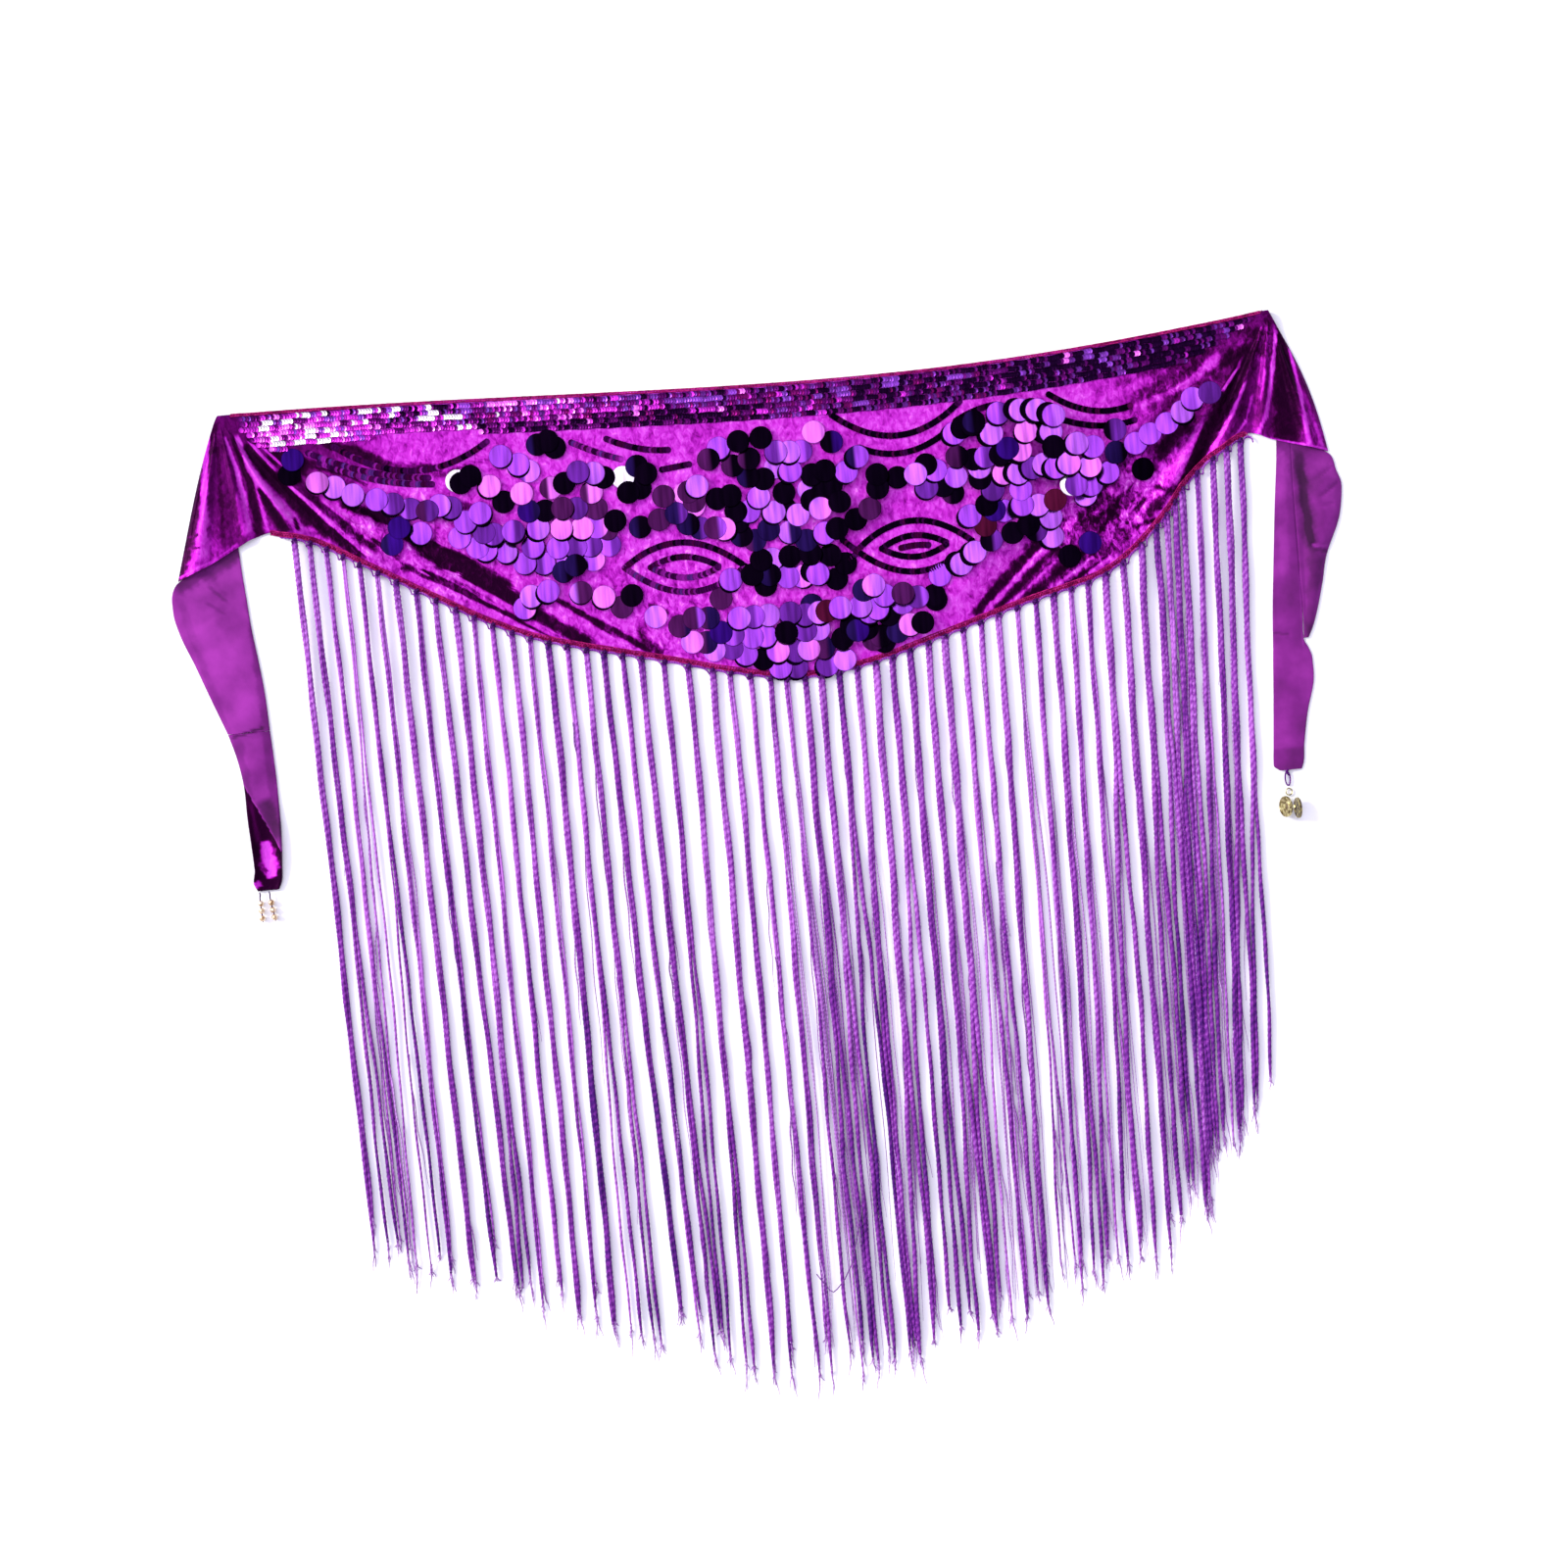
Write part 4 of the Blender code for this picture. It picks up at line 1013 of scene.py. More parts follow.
cords = cord_places()
depths = np.linspace(0.0, 1.0, PLY_RINGS)
lanes = np.array([ply_places(cords, depth) for depth in depths])
left_plies, right_plies, middle_plies, frays = Strands(), Strands(), Strands(), Strands()
for ply in range(len(cords) * 2):
    cord, side = divmod(ply, 2)
    side = 2 * side - 1
    root = lanes[0][ply]
    start = cord_start(root)
    length = CORD_LENGTH - CORD_SHORTENING * root / SPAN - CORD_UNEVEN * uneven(ply + 0.5) ** 1.6
    length -= SHORTER_BY * math.exp(-((root - SHORTER_AT) / SHORTER_REACH) ** 2)
    root_rise = fold_rise(root, start)
    spin = 2.0 * math.pi * (1.5 + 2.5 * uneven(cord * 0.61))
    stout = 0.92 + 0.26 * uneven(cord * 1.37) + 0.14 * ease((root - LOOSE_FROM) / 80.0)
    dim = 0.45 * uneven(cord * 2.71) ** 2
    if uneven(ply * 5.3) > TWISTED_SHARE:
        stout, dim = 0.62 * stout, dim - 0.5
    path, radii, shades = [], [], []
    for ring, depth in enumerate(depths):
        apart = clamp(ply_opening(cord, cords[cord], depth) / 1.2)
        across = lanes[ring][ply] - side * 0.55 * (1.0 - apart)
        across += 0.4 * math.sin(depth * spin + cord * 2.1) + 0.2 * math.sin(depth * 47.0 + ply * 1.3)
        down = start - 2.2 * (1.0 - depth) ** 30 + length * depth
        thin = 1.0 - 0.35 * ease((depth - 0.96) / 0.04)
        lumps = 1.0 + 0.11 * math.sin(depth * 23.0 + ply * 1.7) + 0.06 * math.sin(depth * 61.0 + ply)
        radii.append((PLY_RADIUS - PLY_TAPER * depth) * stout * thin * lumps)
        rise = CLEAR_OF_FLOOR + max(1.5, 1.06 * radii[-1]) + root_rise * (1.0 - ease(depth * 2.5))
        rise += 0.3 * (1.0 + math.sin(depth * 31.0 + ply * 1.9))
        path.append(place(across, down, rise))
        shades.append(TOP_SHADE - dim - END_DIMMING * ease(depth * 1.2 - 0.1)
                      + 0.24 * math.sin(depth * 9.0 + cord * 1.7) * uneven(cord * 0.37)
                      + 0.12 * math.sin(depth * 53.0 + ply * 0.9) - 0.4 * (1.0 - ease(depth * 60.0)))
    strands = (left_plies, middle_plies, right_plies)[min(2, ply * 3 // (len(cords) * 2))]
    strands.add(path, radii, PLY_SIDES, shades, twist=PLY_TWIST, lobes=PLY_LOBES)
    for fray in range(FRAYS_PER_PLY):
        seed = ply * 3.7 + fray * 1.3
        spread = FRAY_SPREAD * (uneven(seed) - 0.5)
        long = FRAY_SHORTEST + FRAY_GROWTH * uneven(seed + 0.4) ** 2.6
        end, fibre = path[-1], []
        for part, _ in FRAY_TAPER:
            aside = spread * part * abs(part) ** 0.5 + 0.4 * math.sin(part * 9.0 + seed)
            fibre.append(end + Vector((aside, -long * part, -1.0 * part * (end.z / MM - 0.35))) * MM)
        frays.add(fibre, [radius for _, radius in FRAY_TAPER], 4, 0.35 + 0.6 * uneven(seed + 2.0))

knots, lace = Strands(), Strands()
for index, across in enumerate(cords):
    distance = hem_edge.distance_at(across)
    root = hem_edge.at(distance)
    rise = fold_rise(root.x, root.y + 6.0)
    top, low = root.y + 1.8, root.y + HEADER_WIDTH + 2.8
    knot = [place(across + 0.5 * math.sin(part * 6.0), top + (low - top) * part, rise + 2.2)
            for part, _ in KNOT_TAPER]
    knots.add(knot, [radius for _, radius in KNOT_TAPER], 7, 0.25 * uneven(index * 0.9))
    after = cords[index + 1] if index + 1 < len(cords) else across + 12.0
    for strand, (sag, sink) in enumerate(SCALLOPS):
        scallop = []
        for step in range(SCALLOP_STEPS + 1):
            part = step / SCALLOP_STEPS
            out = sink + (HEADER_WIDTH + 3.0 - sink) * abs(2.0 * part - 1.0) ** sag
            spot = hem_edge.distance_at(across + (after - across) * part)
            scallop.append(hem_spot(spot, out, 1.3 + 0.5 * strand))
        lace.add(scallop, 0.62 - 0.1 * strand, 5, 0.35 + 0.5 * uneven(index * 1.9 + strand))
heading = []
for step in range(int((hem_end - hem_start - HEADING_SHORTER) / HEADING_PITCH)):
    distance = hem_start + HEADING_FROM + HEADING_PITCH * step
    heading.append(hem_spot(distance, 2.3 + 0.5 * (step % 2), 1.2))
lace.add(heading, 0.6, 5, 0.45)

for stray_index in range(STRAYS):       # loose fibres that wander off their cords
    seed = stray_index * 2.9
    cord = int(uneven(seed) ** 0.75 * (len(cords) - 1))
    first = 0.1 + 0.75 * uneven(seed + 0.2)
    last = min(1.0, first + 0.1 + 0.3 * uneven(seed + 0.5))
    bulge = 6.0 * (uneven(seed + 0.8) - 0.4)
    swing = 9.0 * (uneven(seed + 1.3) - 0.3)
    if stray_index % 4 == 0:        # some run the whole length between two cords of the right half
        cord = int(len(cords) * (0.45 + 0.53 * uneven(seed + 3.1)))
        first, last = 0.02 + 0.2 * uneven(seed + 0.2), 0.84 + 0.16 * uneven(seed + 0.5)
        bulge, swing = 7.0 * uneven(seed + 0.8), 3.0 + 4.0 * uneven(seed + 1.3)
    thick = 0.4 + 0.4 * uneven(seed + 1.9) ** 2
    fibre, radii = [], []
    for step in range(STRAY_POINTS):
        part = step / (STRAY_POINTS - 1)
        depth = first + (last - first) * part
        home = lanes[int(depth * (PLY_RINGS - 1))][cord * 2]
        across = home + bulge * math.sin(math.pi * part) + swing * part * part
        across += 0.5 * math.sin(part * 17.0 + seed)
        fibre.append(place(across, cord_start(cords[cord]) + STRAY_LENGTH * depth, STRAY_RISE))
        radii.append(thick * (1.0 - 0.75 * part ** 3))
    frays.add(fibre, radii, 4, 0.2 + 0.7 * uneven(seed + 2.2))
frays.add([place(across, down, PULLED_RISE) for across, down in PULLED_THREAD], PULLED_RADIUS, 4, 0.1)

cord_rayon = make_thread_material("cord_rayon", srgb(66, 20, 104), srgb(128, 50, 154), srgb(186, 112, 208),
                                  0.85, 1.1)
fray_rayon = make_thread_material("frayed_rayon", srgb(86, 44, 110), srgb(150, 92, 172),
                                  srgb(196, 160, 212), 0.8, 2.0)
lace_rayon = make_thread_material("lace_rayon", srgb(74, 14, 104), srgb(132, 46, 158),
                                  srgb(176, 96, 196), 0.85, 2.4)
knot_thread = make_thread_material("knot_thread", srgb(30, 2, 44), srgb(84, 20, 112), srgb(130, 60, 156),
                                   0.8, 4.0)
for strands, strands_name, strands_finish in (
        (left_plies, "fringe_cords_left", cord_rayon), (middle_plies, "fringe_cords_middle", cord_rayon),
        (right_plies, "fringe_cords_right", cord_rayon), (frays, "fringe_frayed_ends", fray_rayon),
        (lace, "fringe_heading", lace_rayon), (knots, "fringe_knots", knot_thread)):
    cords_piece = strands.finish(strands_name, strands_finish)
    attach(cords_piece, "root")
    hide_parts("fringe")

# --- Small sequins ------------------------------------------------------------------------------------
# Cupped foil sequins on a thread. Close rows fill a band below the waist edge, and single rows
# draw the swags and the two almond shapes: each almond is two pairs of arcs, one in the other.
# Their tints are partly the foil's own colour and partly painted reflections; the bright runs are painted
# glints.

RIM_FROM = 0.98             # share of a sequin's radius from which its edge gets painted shade
SEQUIN_SIDES, SEQUIN_CUP, SEQUIN_WALL, SEQUIN_RIM_PAINTED_SHADE = 8, 0.45, 0.14, 0.6
SEQUIN_LEAN, SEQUIN_RISE = 14.0, 0.75       # sewn through the middle, lapping like scales
BAND_RADIUS, BAND_STEP, BAND_ROWS, BAND_ROW_STEP = 2.2, 2.15, 7, 4.1
BAND_FIRST, BAND_LAST, BAND_INSET = 13.0, 788.0, 4.3
BAND_EDGE = (               # across, lower edge of the band
    (14, 14), (24, 26), (60, 29), (120, 28), (165, 27), (185, 31), (232, 35.5), (252, 37.5), (310, 39),
    (375, 41.5), (431, 43), (530, 44.5), (616, 44.5), (671, 40), (727, 35), (760, 22), (786, 8),
)
LINE_RADIUS, LINE_STEP = 2.6, 2.1
SWAGS = (                   # the shares of tints, both ends across and down, the sag between them
    ("dark", 82, 31, 200, 38, 21), ("soft", 62, 34, 152, 62, 5), ("soft", 70, 42, 154, 67, 5),
    ("soft", 263, 46, 301, 63, 1), ("dark", 290, 46, 337, 59, 3), ("dark", 330, 73.5, 351, 71.5, 0),
    ("black", 463, 45, 562, 44, 21), ("black", 482, 72, 551, 65, 10.5), ("dark", 557, 59, 590, 49.5, -2),
    ("black", 630, 46, 692, 60.5, 8), ("black", 638, 66, 694, 72, 4.5),
    ("black", 462, 141, 471, 149.5, 0), ("dark", 463, 160, 471, 152.5, 0),
    ("wine", 506, 151.5, 528, 151.5, -1),
)
ALMONDS = (                 # middle across and down, half length, half height, turn, tints above, below
    (340, 149.5, 46, 19, 5, "dark", "soft"), (516.5, 151, 44.5, 19.5, 1, "black", "black"),
)
ALMOND_RINGS = ((1.0, 1.0), (0.57, 0.42))   # shares of the length and height
ROW_POINTS = 12
LINE_TINTS = {
    "black": {"night": 8, "plum": 2, "wine": 2}, "dark": {"plum": 6, "night": 4, "wine": 3, "magenta": 1},
    "wine": {"wine": 6, "plum": 2}, "soft": {"plum": 5, "magenta": 5, "violet": 2, "wine": 2},
}
# The glint tint is a painted glint; the others are partly the foil's own colour and partly painted
# reflections.
SEQUIN_TINTS = {
    "night": srgb(24, 3, 34), "plum": srgb(84, 12, 92), "wine": srgb(92, 10, 80),
    "magenta": srgb(180, 40, 184), "violet": srgb(120, 54, 166), "dusk": srgb(92, 34, 124),
    "rose": srgb(240, 108, 238), "glint": srgb(255, 240, 255),
}
BAND_TINTS = (              # from across, first and last row, then the share of each tint
    (0.0, 0, 1, {"plum": 3, "violet": 3, "magenta": 4, "rose": 1}),
    (0.0, 2, 6, {"magenta": 5, "rose": 5, "glint": 1, "plum": 1, "violet": 1}),
    (85.0, 0, 2, {"plum": 3, "violet": 5, "magenta": 5, "night": 1}),
    (85.0, 3, 6, {"magenta": 6, "plum": 1, "violet": 2, "rose": 3}),
    (125.0, 0, 3, {"plum": 6, "violet": 3, "magenta": 2, "night": 3}),
    (125.0, 4, 6, {"magenta": 6, "plum": 3, "rose": 3}),
    (190.0, 0, 1, {"magenta": 3, "violet": 3, "dusk": 2, "plum": 4, "rose": 1}),
    (190.0, 2, 3, {"magenta": 3, "plum": 5, "rose": 1, "wine": 3, "dusk": 1}),
    (190.0, 4, 6, {"night": 6, "plum": 5, "magenta": 1}),
    (280.0, 0, 2, {"plum": 6, "dusk": 4, "violet": 1, "magenta": 1, "wine": 2, "night": 2}),
    (280.0, 3, 6, {"night": 7, "plum": 4, "wine": 1}),
    (400.0, 0, 6, {"plum": 6, "wine": 4, "night": 4, "dusk": 3, "magenta": 1}),
    (460.0, 0, 6, {"night": 9, "plum": 5, "dusk": 3, "wine": 1}),
    (600.0, 0, 6, {"night": 14, "plum": 4, "dusk": 2}),
)
BAND_GLINTS = {             # by tint: from and to across, first and last row
    "glint": (
        (28, 36, 1, 2), (43, 51, 1, 1), (55, 67, 0, 0), (74, 78, 0, 0), (34, 41, 4, 5), (59, 68, 3, 4),
        (68, 79, 5, 5), (80, 86, 4, 4), (103, 113, 0, 0), (117, 121, 0, 0), (104, 109, 2, 2),
        (128, 134, 0, 0), (126, 129, 1, 1), (147, 160, 2, 2), (155, 163, 1, 1), (154, 158, 0, 0),
        (166, 184, 2, 2), (176, 180, 4, 4), (184, 188, 4, 4), (252, 256, 0, 0), (208, 212, 2, 2),
    ),
    "rose": (
        (60, 66, 2, 2), (115, 118, 3, 3), (208, 226, 0, 0), (230, 240, 0, 0), (258, 270, 0, 0),
        (312, 316, 2, 3), (276, 279, 4, 4), (394, 398, 0, 0), (377, 382, 3, 3), (643, 648, 0, 1),
        (697, 701, 2, 2), (779, 782, 1, 1),
    ),
    "violet": (
        (240, 250, 0, 0), (344, 380, 1, 1), (386, 392, 0, 0), (427, 433, 1, 2), (451, 457, 2, 2),
        (468, 478, 1, 2), (480, 492, 4, 4), (503, 517, 0, 1), (553, 566, 1, 1), (610, 613, 2, 2),
        (636, 640, 3, 3), (659, 666, 0, 1), (670, 677, 1, 2), (676, 680, 3, 3), (708, 712, 2, 2),
        (720, 724, 1, 1), (768, 772, 1, 2),
    ),
    "magenta": (
        (243, 255, 2, 2), (280, 298, 2, 2), (324, 332, 1, 2), (356, 374, 3, 3), (405, 409, 4, 4),
        (437, 441, 4, 4), (461, 464, 4, 4), (516, 520, 3, 3), (585, 588, 2, 2), (593, 597, 3, 4),
        (728, 732, 1, 1), (735, 738, 4, 4), (742, 745, 5, 5),
    ),
}


def model_sequin(name, sides, radius, cup, wall, rim=None):
    """One round sequin facing +Z, as points and faces: a pointed cup, or flat within a rim."""
    select_none()
    bpy.ops.mesh.primitive_circle_add(vertices=sides, radius=radius * MM, location=(0.0, 0.0, 0.0),
                                      fill_type="NGON" if rim else "TRIFAN")
    master = bpy.context.object
    master.name = name
    if rim:
        bpy.ops.object.mode_set(mode="EDIT")
        bpy.ops.mesh.select_mode(type="FACE")
        bpy.ops.mesh.select_all(action="SELECT")
        bpy.ops.mesh.inset(thickness=rim * MM, depth=0.0)
        bpy.ops.transform.translate(value=(0.0, 0.0, -cup * MM))
        bpy.ops.object.mode_set(mode="OBJECT")
    else:
        for vertex in master.data.vertices:
            if vertex.co.length < 0.1 * radius * MM:
                vertex.co.z = -cup * MM
    solidify = master.modifiers.new("wall", "SOLIDIFY")
    solidify.thickness = wall * MM
    solidify.offset = -1.0
    bpy.ops.object.modifier_apply(modifier="wall")
    points = np.array([vertex.co[:] for vertex in master.data.vertices])
    faces = [tuple(face.vertices) for face in master.data.polygons]
    bpy.data.objects.remove(master, do_unlink=True)
    return points, faces


def scatter(name, shape, settings, tints, finish_material, sharp, shade_painted_on_rim):
    """Copies of one modelled shape, each with its own mesh part and tint, in one piece."""
    points, faces = shape
    across = np.hypot(points[:, 0], points[:, 1])
    # Painted shade: the rim of every copy is darkened by the given share.
    painted_rim_shading = np.where(across > RIM_FROM * across.max(), shade_painted_on_rim, 1.0)[:, None] * np.ones(4)
    all_points, all_faces, colours = [], [], []
    for setting, tint in zip(settings, tints):
        matrix = np.array(setting)
        base = len(all_points) * len(points)
        all_points.append(points @ matrix[:3, :3].T + matrix[:3, 3])
        all_faces.extend(tuple(base + corner for corner in face) for face in faces)
        colours.append(np.array(tint) * painted_rim_shading)
    piece = link_piece(name, np.concatenate(all_points), all_faces)
    layer = piece.data.color_attributes.new("tint", "FLOAT_COLOR", "POINT")
    layer.data.foreach_set("color", np.concatenate(colours).astype(np.float32).ravel())
    piece.data.polygons.foreach_set("use_smooth", np.ones(len(all_faces), dtype=bool))
    piece.data.set_sharp_from_angle(angle=math.radians(sharp))
    piece.data.materials.append(finish_material)
    return piece


def sequin_setting(across, down, lean, lean_towards, rise, spin=0.0):
    """Where a sequin sits: on the cloth, leaning in a direction given in degrees from across."""
    spot, normal = cloth_at(across, down)
    normal = (normal + Vector((0.0, 0.0, 1.0))).normalized()
    towards = math.radians(lean_towards)
    axis = Vector((-math.sin(towards), math.cos(towards), 0.0))
    stand = Vector((0.0, 0.0, 1.0)).rotation_difference(normal).to_matrix().to_4x4()
    tip = Matrix.Rotation(math.radians(lean), 4, axis)
    turn = Matrix.Rotation(math.radians(spin), 4, "Z")
    return Matrix.Translation(spot + normal * rise * MM) @ stand @ tip @ turn


def pick(shares, seed):
    """One name from a table of shares."""
    wanted = uneven(seed) * sum(shares.values())
    for tint_name, share in shares.items():
        wanted -= share
        if wanted <= 0.0:
            return tint_name
    return tint_name


def brightness(tree, at, low, high, least, most):
    """A brightness from least to most as a value goes from low to high."""
    return add_node(tree, "MapRange", {"Value": at, "From Min": low, "From Max": high, "To Min": least,
                                       "To Max": most}).outputs[0]


def scale_colour(tree, colour, by):
    return add_node(tree, "VectorMath", {0: colour, "Scale": by}, operation="SCALE").outputs[0]


def make_foil(name, roughness, streaks):
    """Thin metallised film: a mirror tinted partly by its dye and partly by painted reflections, with creases
    where it was punched that also paint lighter and darker streaks.
    """
    finish, tree, shader = shader_material(name, roughness, 1.0)
    stretch = add_node(tree, "Mapping", {"Vector": object_coords(tree), "Scale": (1.0, 0.10, 1.0)})
    creases = noise(tree, stretch.outputs[0], streaks, 2.0)
    bright = brightness(tree, creases, 0.3, 0.7, 0.55, 1.15)
    set_inputs(tree, shader, {"Base Color": scale_colour(tree, attribute(tree, "tint", "Color"), bright)})
    add_bump(tree, shader, creases, 0.0004, 0.5)
    return finish


def band_tint(across, row, seed):
    """The name of a band sequin's tint: that of a bright run of painted glints and reflections, or
    else by the shares of its zone, where many a sequin has the tint of the run that it is in."""
    if uneven(seed + 6.0) < 0.92:
        for glint_name, runs in BAND_GLINTS.items():
            if any(first <= across <= last and top <= row <= low for first, last, top, low in runs):
                return glint_name
    zone = across + 30.0 * (uneven(math.floor(across / 8.0) * 1.3 + row) - 0.5)
    shares = BAND_TINTS[1][3]
    for first, top, low, zone_shares in BAND_TINTS:
        if zone >= first and top <= row <= low:
            shares = zone_shares
    run = math.floor(across / (5.0 + 4.0 * uneven(row * 3.7)) + uneven(row * 1.9)) * 2.37 + row * 7.1
    alike = 0.6 if across < 190.0 else 0.4
    return pick(shares, run if uneven(seed + 4.0) < alike else seed)


small_foil = make_foil("sequin_foil", 0.28, 500.0)
band_sequin = model_sequin("sequin", SEQUIN_SIDES, BAND_RADIUS, SEQUIN_CUP, SEQUIN_WALL)
band_settings, band_tints = [], []
for row in range(BAND_ROWS):
    across = BAND_FIRST + 1.0 * (row % 2)
    while across < BAND_LAST:
        down = top_edge(across) + BAND_INSET + BAND_ROW_STEP * row + 0.25 * math.sin(across * 0.31 + row)
        seed = across * 0.731 + row * 5.17
        if down < between(BAND_EDGE, across, 1) - 1.2:
            lean = SEQUIN_LEAN - 1.0 + 8.0 * (uneven(seed + 1.0) - 0.5)
            band_settings.append(sequin_setting(across, down, lean, 180.0, SEQUIN_RISE + 0.1 * (row % 2),
                                                45.0 * uneven(seed + 2.0)))
            chosen = band_tint(across, row, seed)
            tint = np.array(SEQUIN_TINTS[chosen])
            tint[:3] *= 1.0 if chosen == "glint" else 0.8 + 0.7 * uneven(seed + 7.0)
            band_tints.append(tint)
        across += BAND_STEP + 0.2 * (uneven(seed + 3.0) - 0.5)
band = scatter("waist_band_sequins", band_sequin, band_settings, band_tints, small_foil, 20.0,
               SEQUIN_RIM_PAINTED_SHADE)
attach(band, "root")


def sagging_row(first, last, sag):
    """Places along a row between two ends that sags by a length in its middle."""
    row = []
    for step in range(ROW_POINTS + 1):
        part = step / ROW_POINTS
        row.append((first[0] + (last[0] - first[0]) * part,
                    first[1] + (last[1] - first[1]) * part + 4.0 * sag * part * (1.0 - part)))
    return row


sequin_rows = [(tints, sagging_row((x0, y0), (x1, y1), sag)) for tints, x0, y0, x1, y1, sag in SWAGS]
for across, down, half_length, half_height, turn, above, below in ALMONDS:
    for length_share, height_share in ALMOND_RINGS:
        along = half_length * length_share * math.cos(math.radians(turn))
        fall = half_length * length_share * math.sin(math.radians(turn))
        ends = (across - along, down - fall), (across + along, down + fall)
        sequin_rows.append((above, sagging_row(*ends, -half_height * height_share)))
        sequin_rows.append((below, sagging_row(*ends, half_height * height_share)))
line_sequin = model_sequin("line_sequin", SEQUIN_SIDES, LINE_RADIUS, SEQUIN_CUP, SEQUIN_WALL)
line_settings, line_tints = [], []
for index, (line_kind, places) in enumerate(sequin_rows):
    line = Edge(places)
    for step in range(int(line.length / LINE_STEP) + 1):
        seed = index * 17.3 + step * 0.77
        distance = step * LINE_STEP
        spot = line.at(distance)
        run = line.at(min(line.length, distance + 1.0)) - line.at(max(0.0, distance - 1.0))
        along = math.degrees(math.atan2(-run.y, run.x))
        line_settings.append(sequin_setting(spot.x, spot.y, SEQUIN_LEAN, along, SEQUIN_RISE,
                                            45.0 * uneven(seed)))
        tint = np.array(SEQUIN_TINTS[pick(LINE_TINTS[line_kind], seed + 1.0)])
        tint[:3] *= 0.8 + 0.6 * uneven(seed + 7.0)
        line_tints.append(tint)
swag_sequins = scatter("swag_sequins", line_sequin, line_settings, line_tints, small_foil, 20.0,
                       SEQUIN_RIM_PAINTED_SHADE)
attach(swag_sequins, "root")

# --- Paillettes -------------------------------------------------------------------------------------------
# Large flat foil discs, each sewn at its upper edge so that it laps over the discs below it.
# They hang in rows and in clusters; the tint is a painted reflection of what each one happens to mirror.

PAILLETTE_RADIUS, PAILLETTE_SIDES, PAILLETTE_WALL = 8.9, 22, 0.28
PAILLETTE_RIM, PAILLETTE_DISH = 0.55, -0.10
PAILLETTE_LEAN, PAILLETTE_ROLL, PAILLETTE_SWAY = 5.0, 3.0, 2.4
SEWN_RISE = 0.55            # of a disc's upper edge
CLEAR_OF_CLOTH, LAP = 0.3, 0.36             # clear space under a disc, and between two that lap
LAYER_STEP = 40.0           # how much further up or down a whole layer counts in the order of hanging
CROWDED_FROM, CROWDED_TO = 540.0, 672.0     # the right cluster is two discs deep
BACKED_TINTS = ("violet", "dusk", "lilac", "pink")          # light discs, often over a black one that paints the shade and black reflection at their lower edge
BACKED_SHARE, CROWDED_SHARE = 0.62, 0.9
RIM_PAINTED_SHADE = 0.35
PAILLETTE_PAINTED_REFLECTIONS = {
    "black": srgb(8, 2, 14), "navy": srgb(28, 12, 62), "plum": srgb(66, 18, 70), "indigo": srgb(42, 8, 98),
    "maroon": srgb(66, 10, 38), "violet": srgb(158, 66, 212), "dusk": srgb(96, 34, 138),
    "lilac": srgb(182, 92, 226), "pink": srgb(226, 108, 230), "white": srgb(255, 240, 255),
}
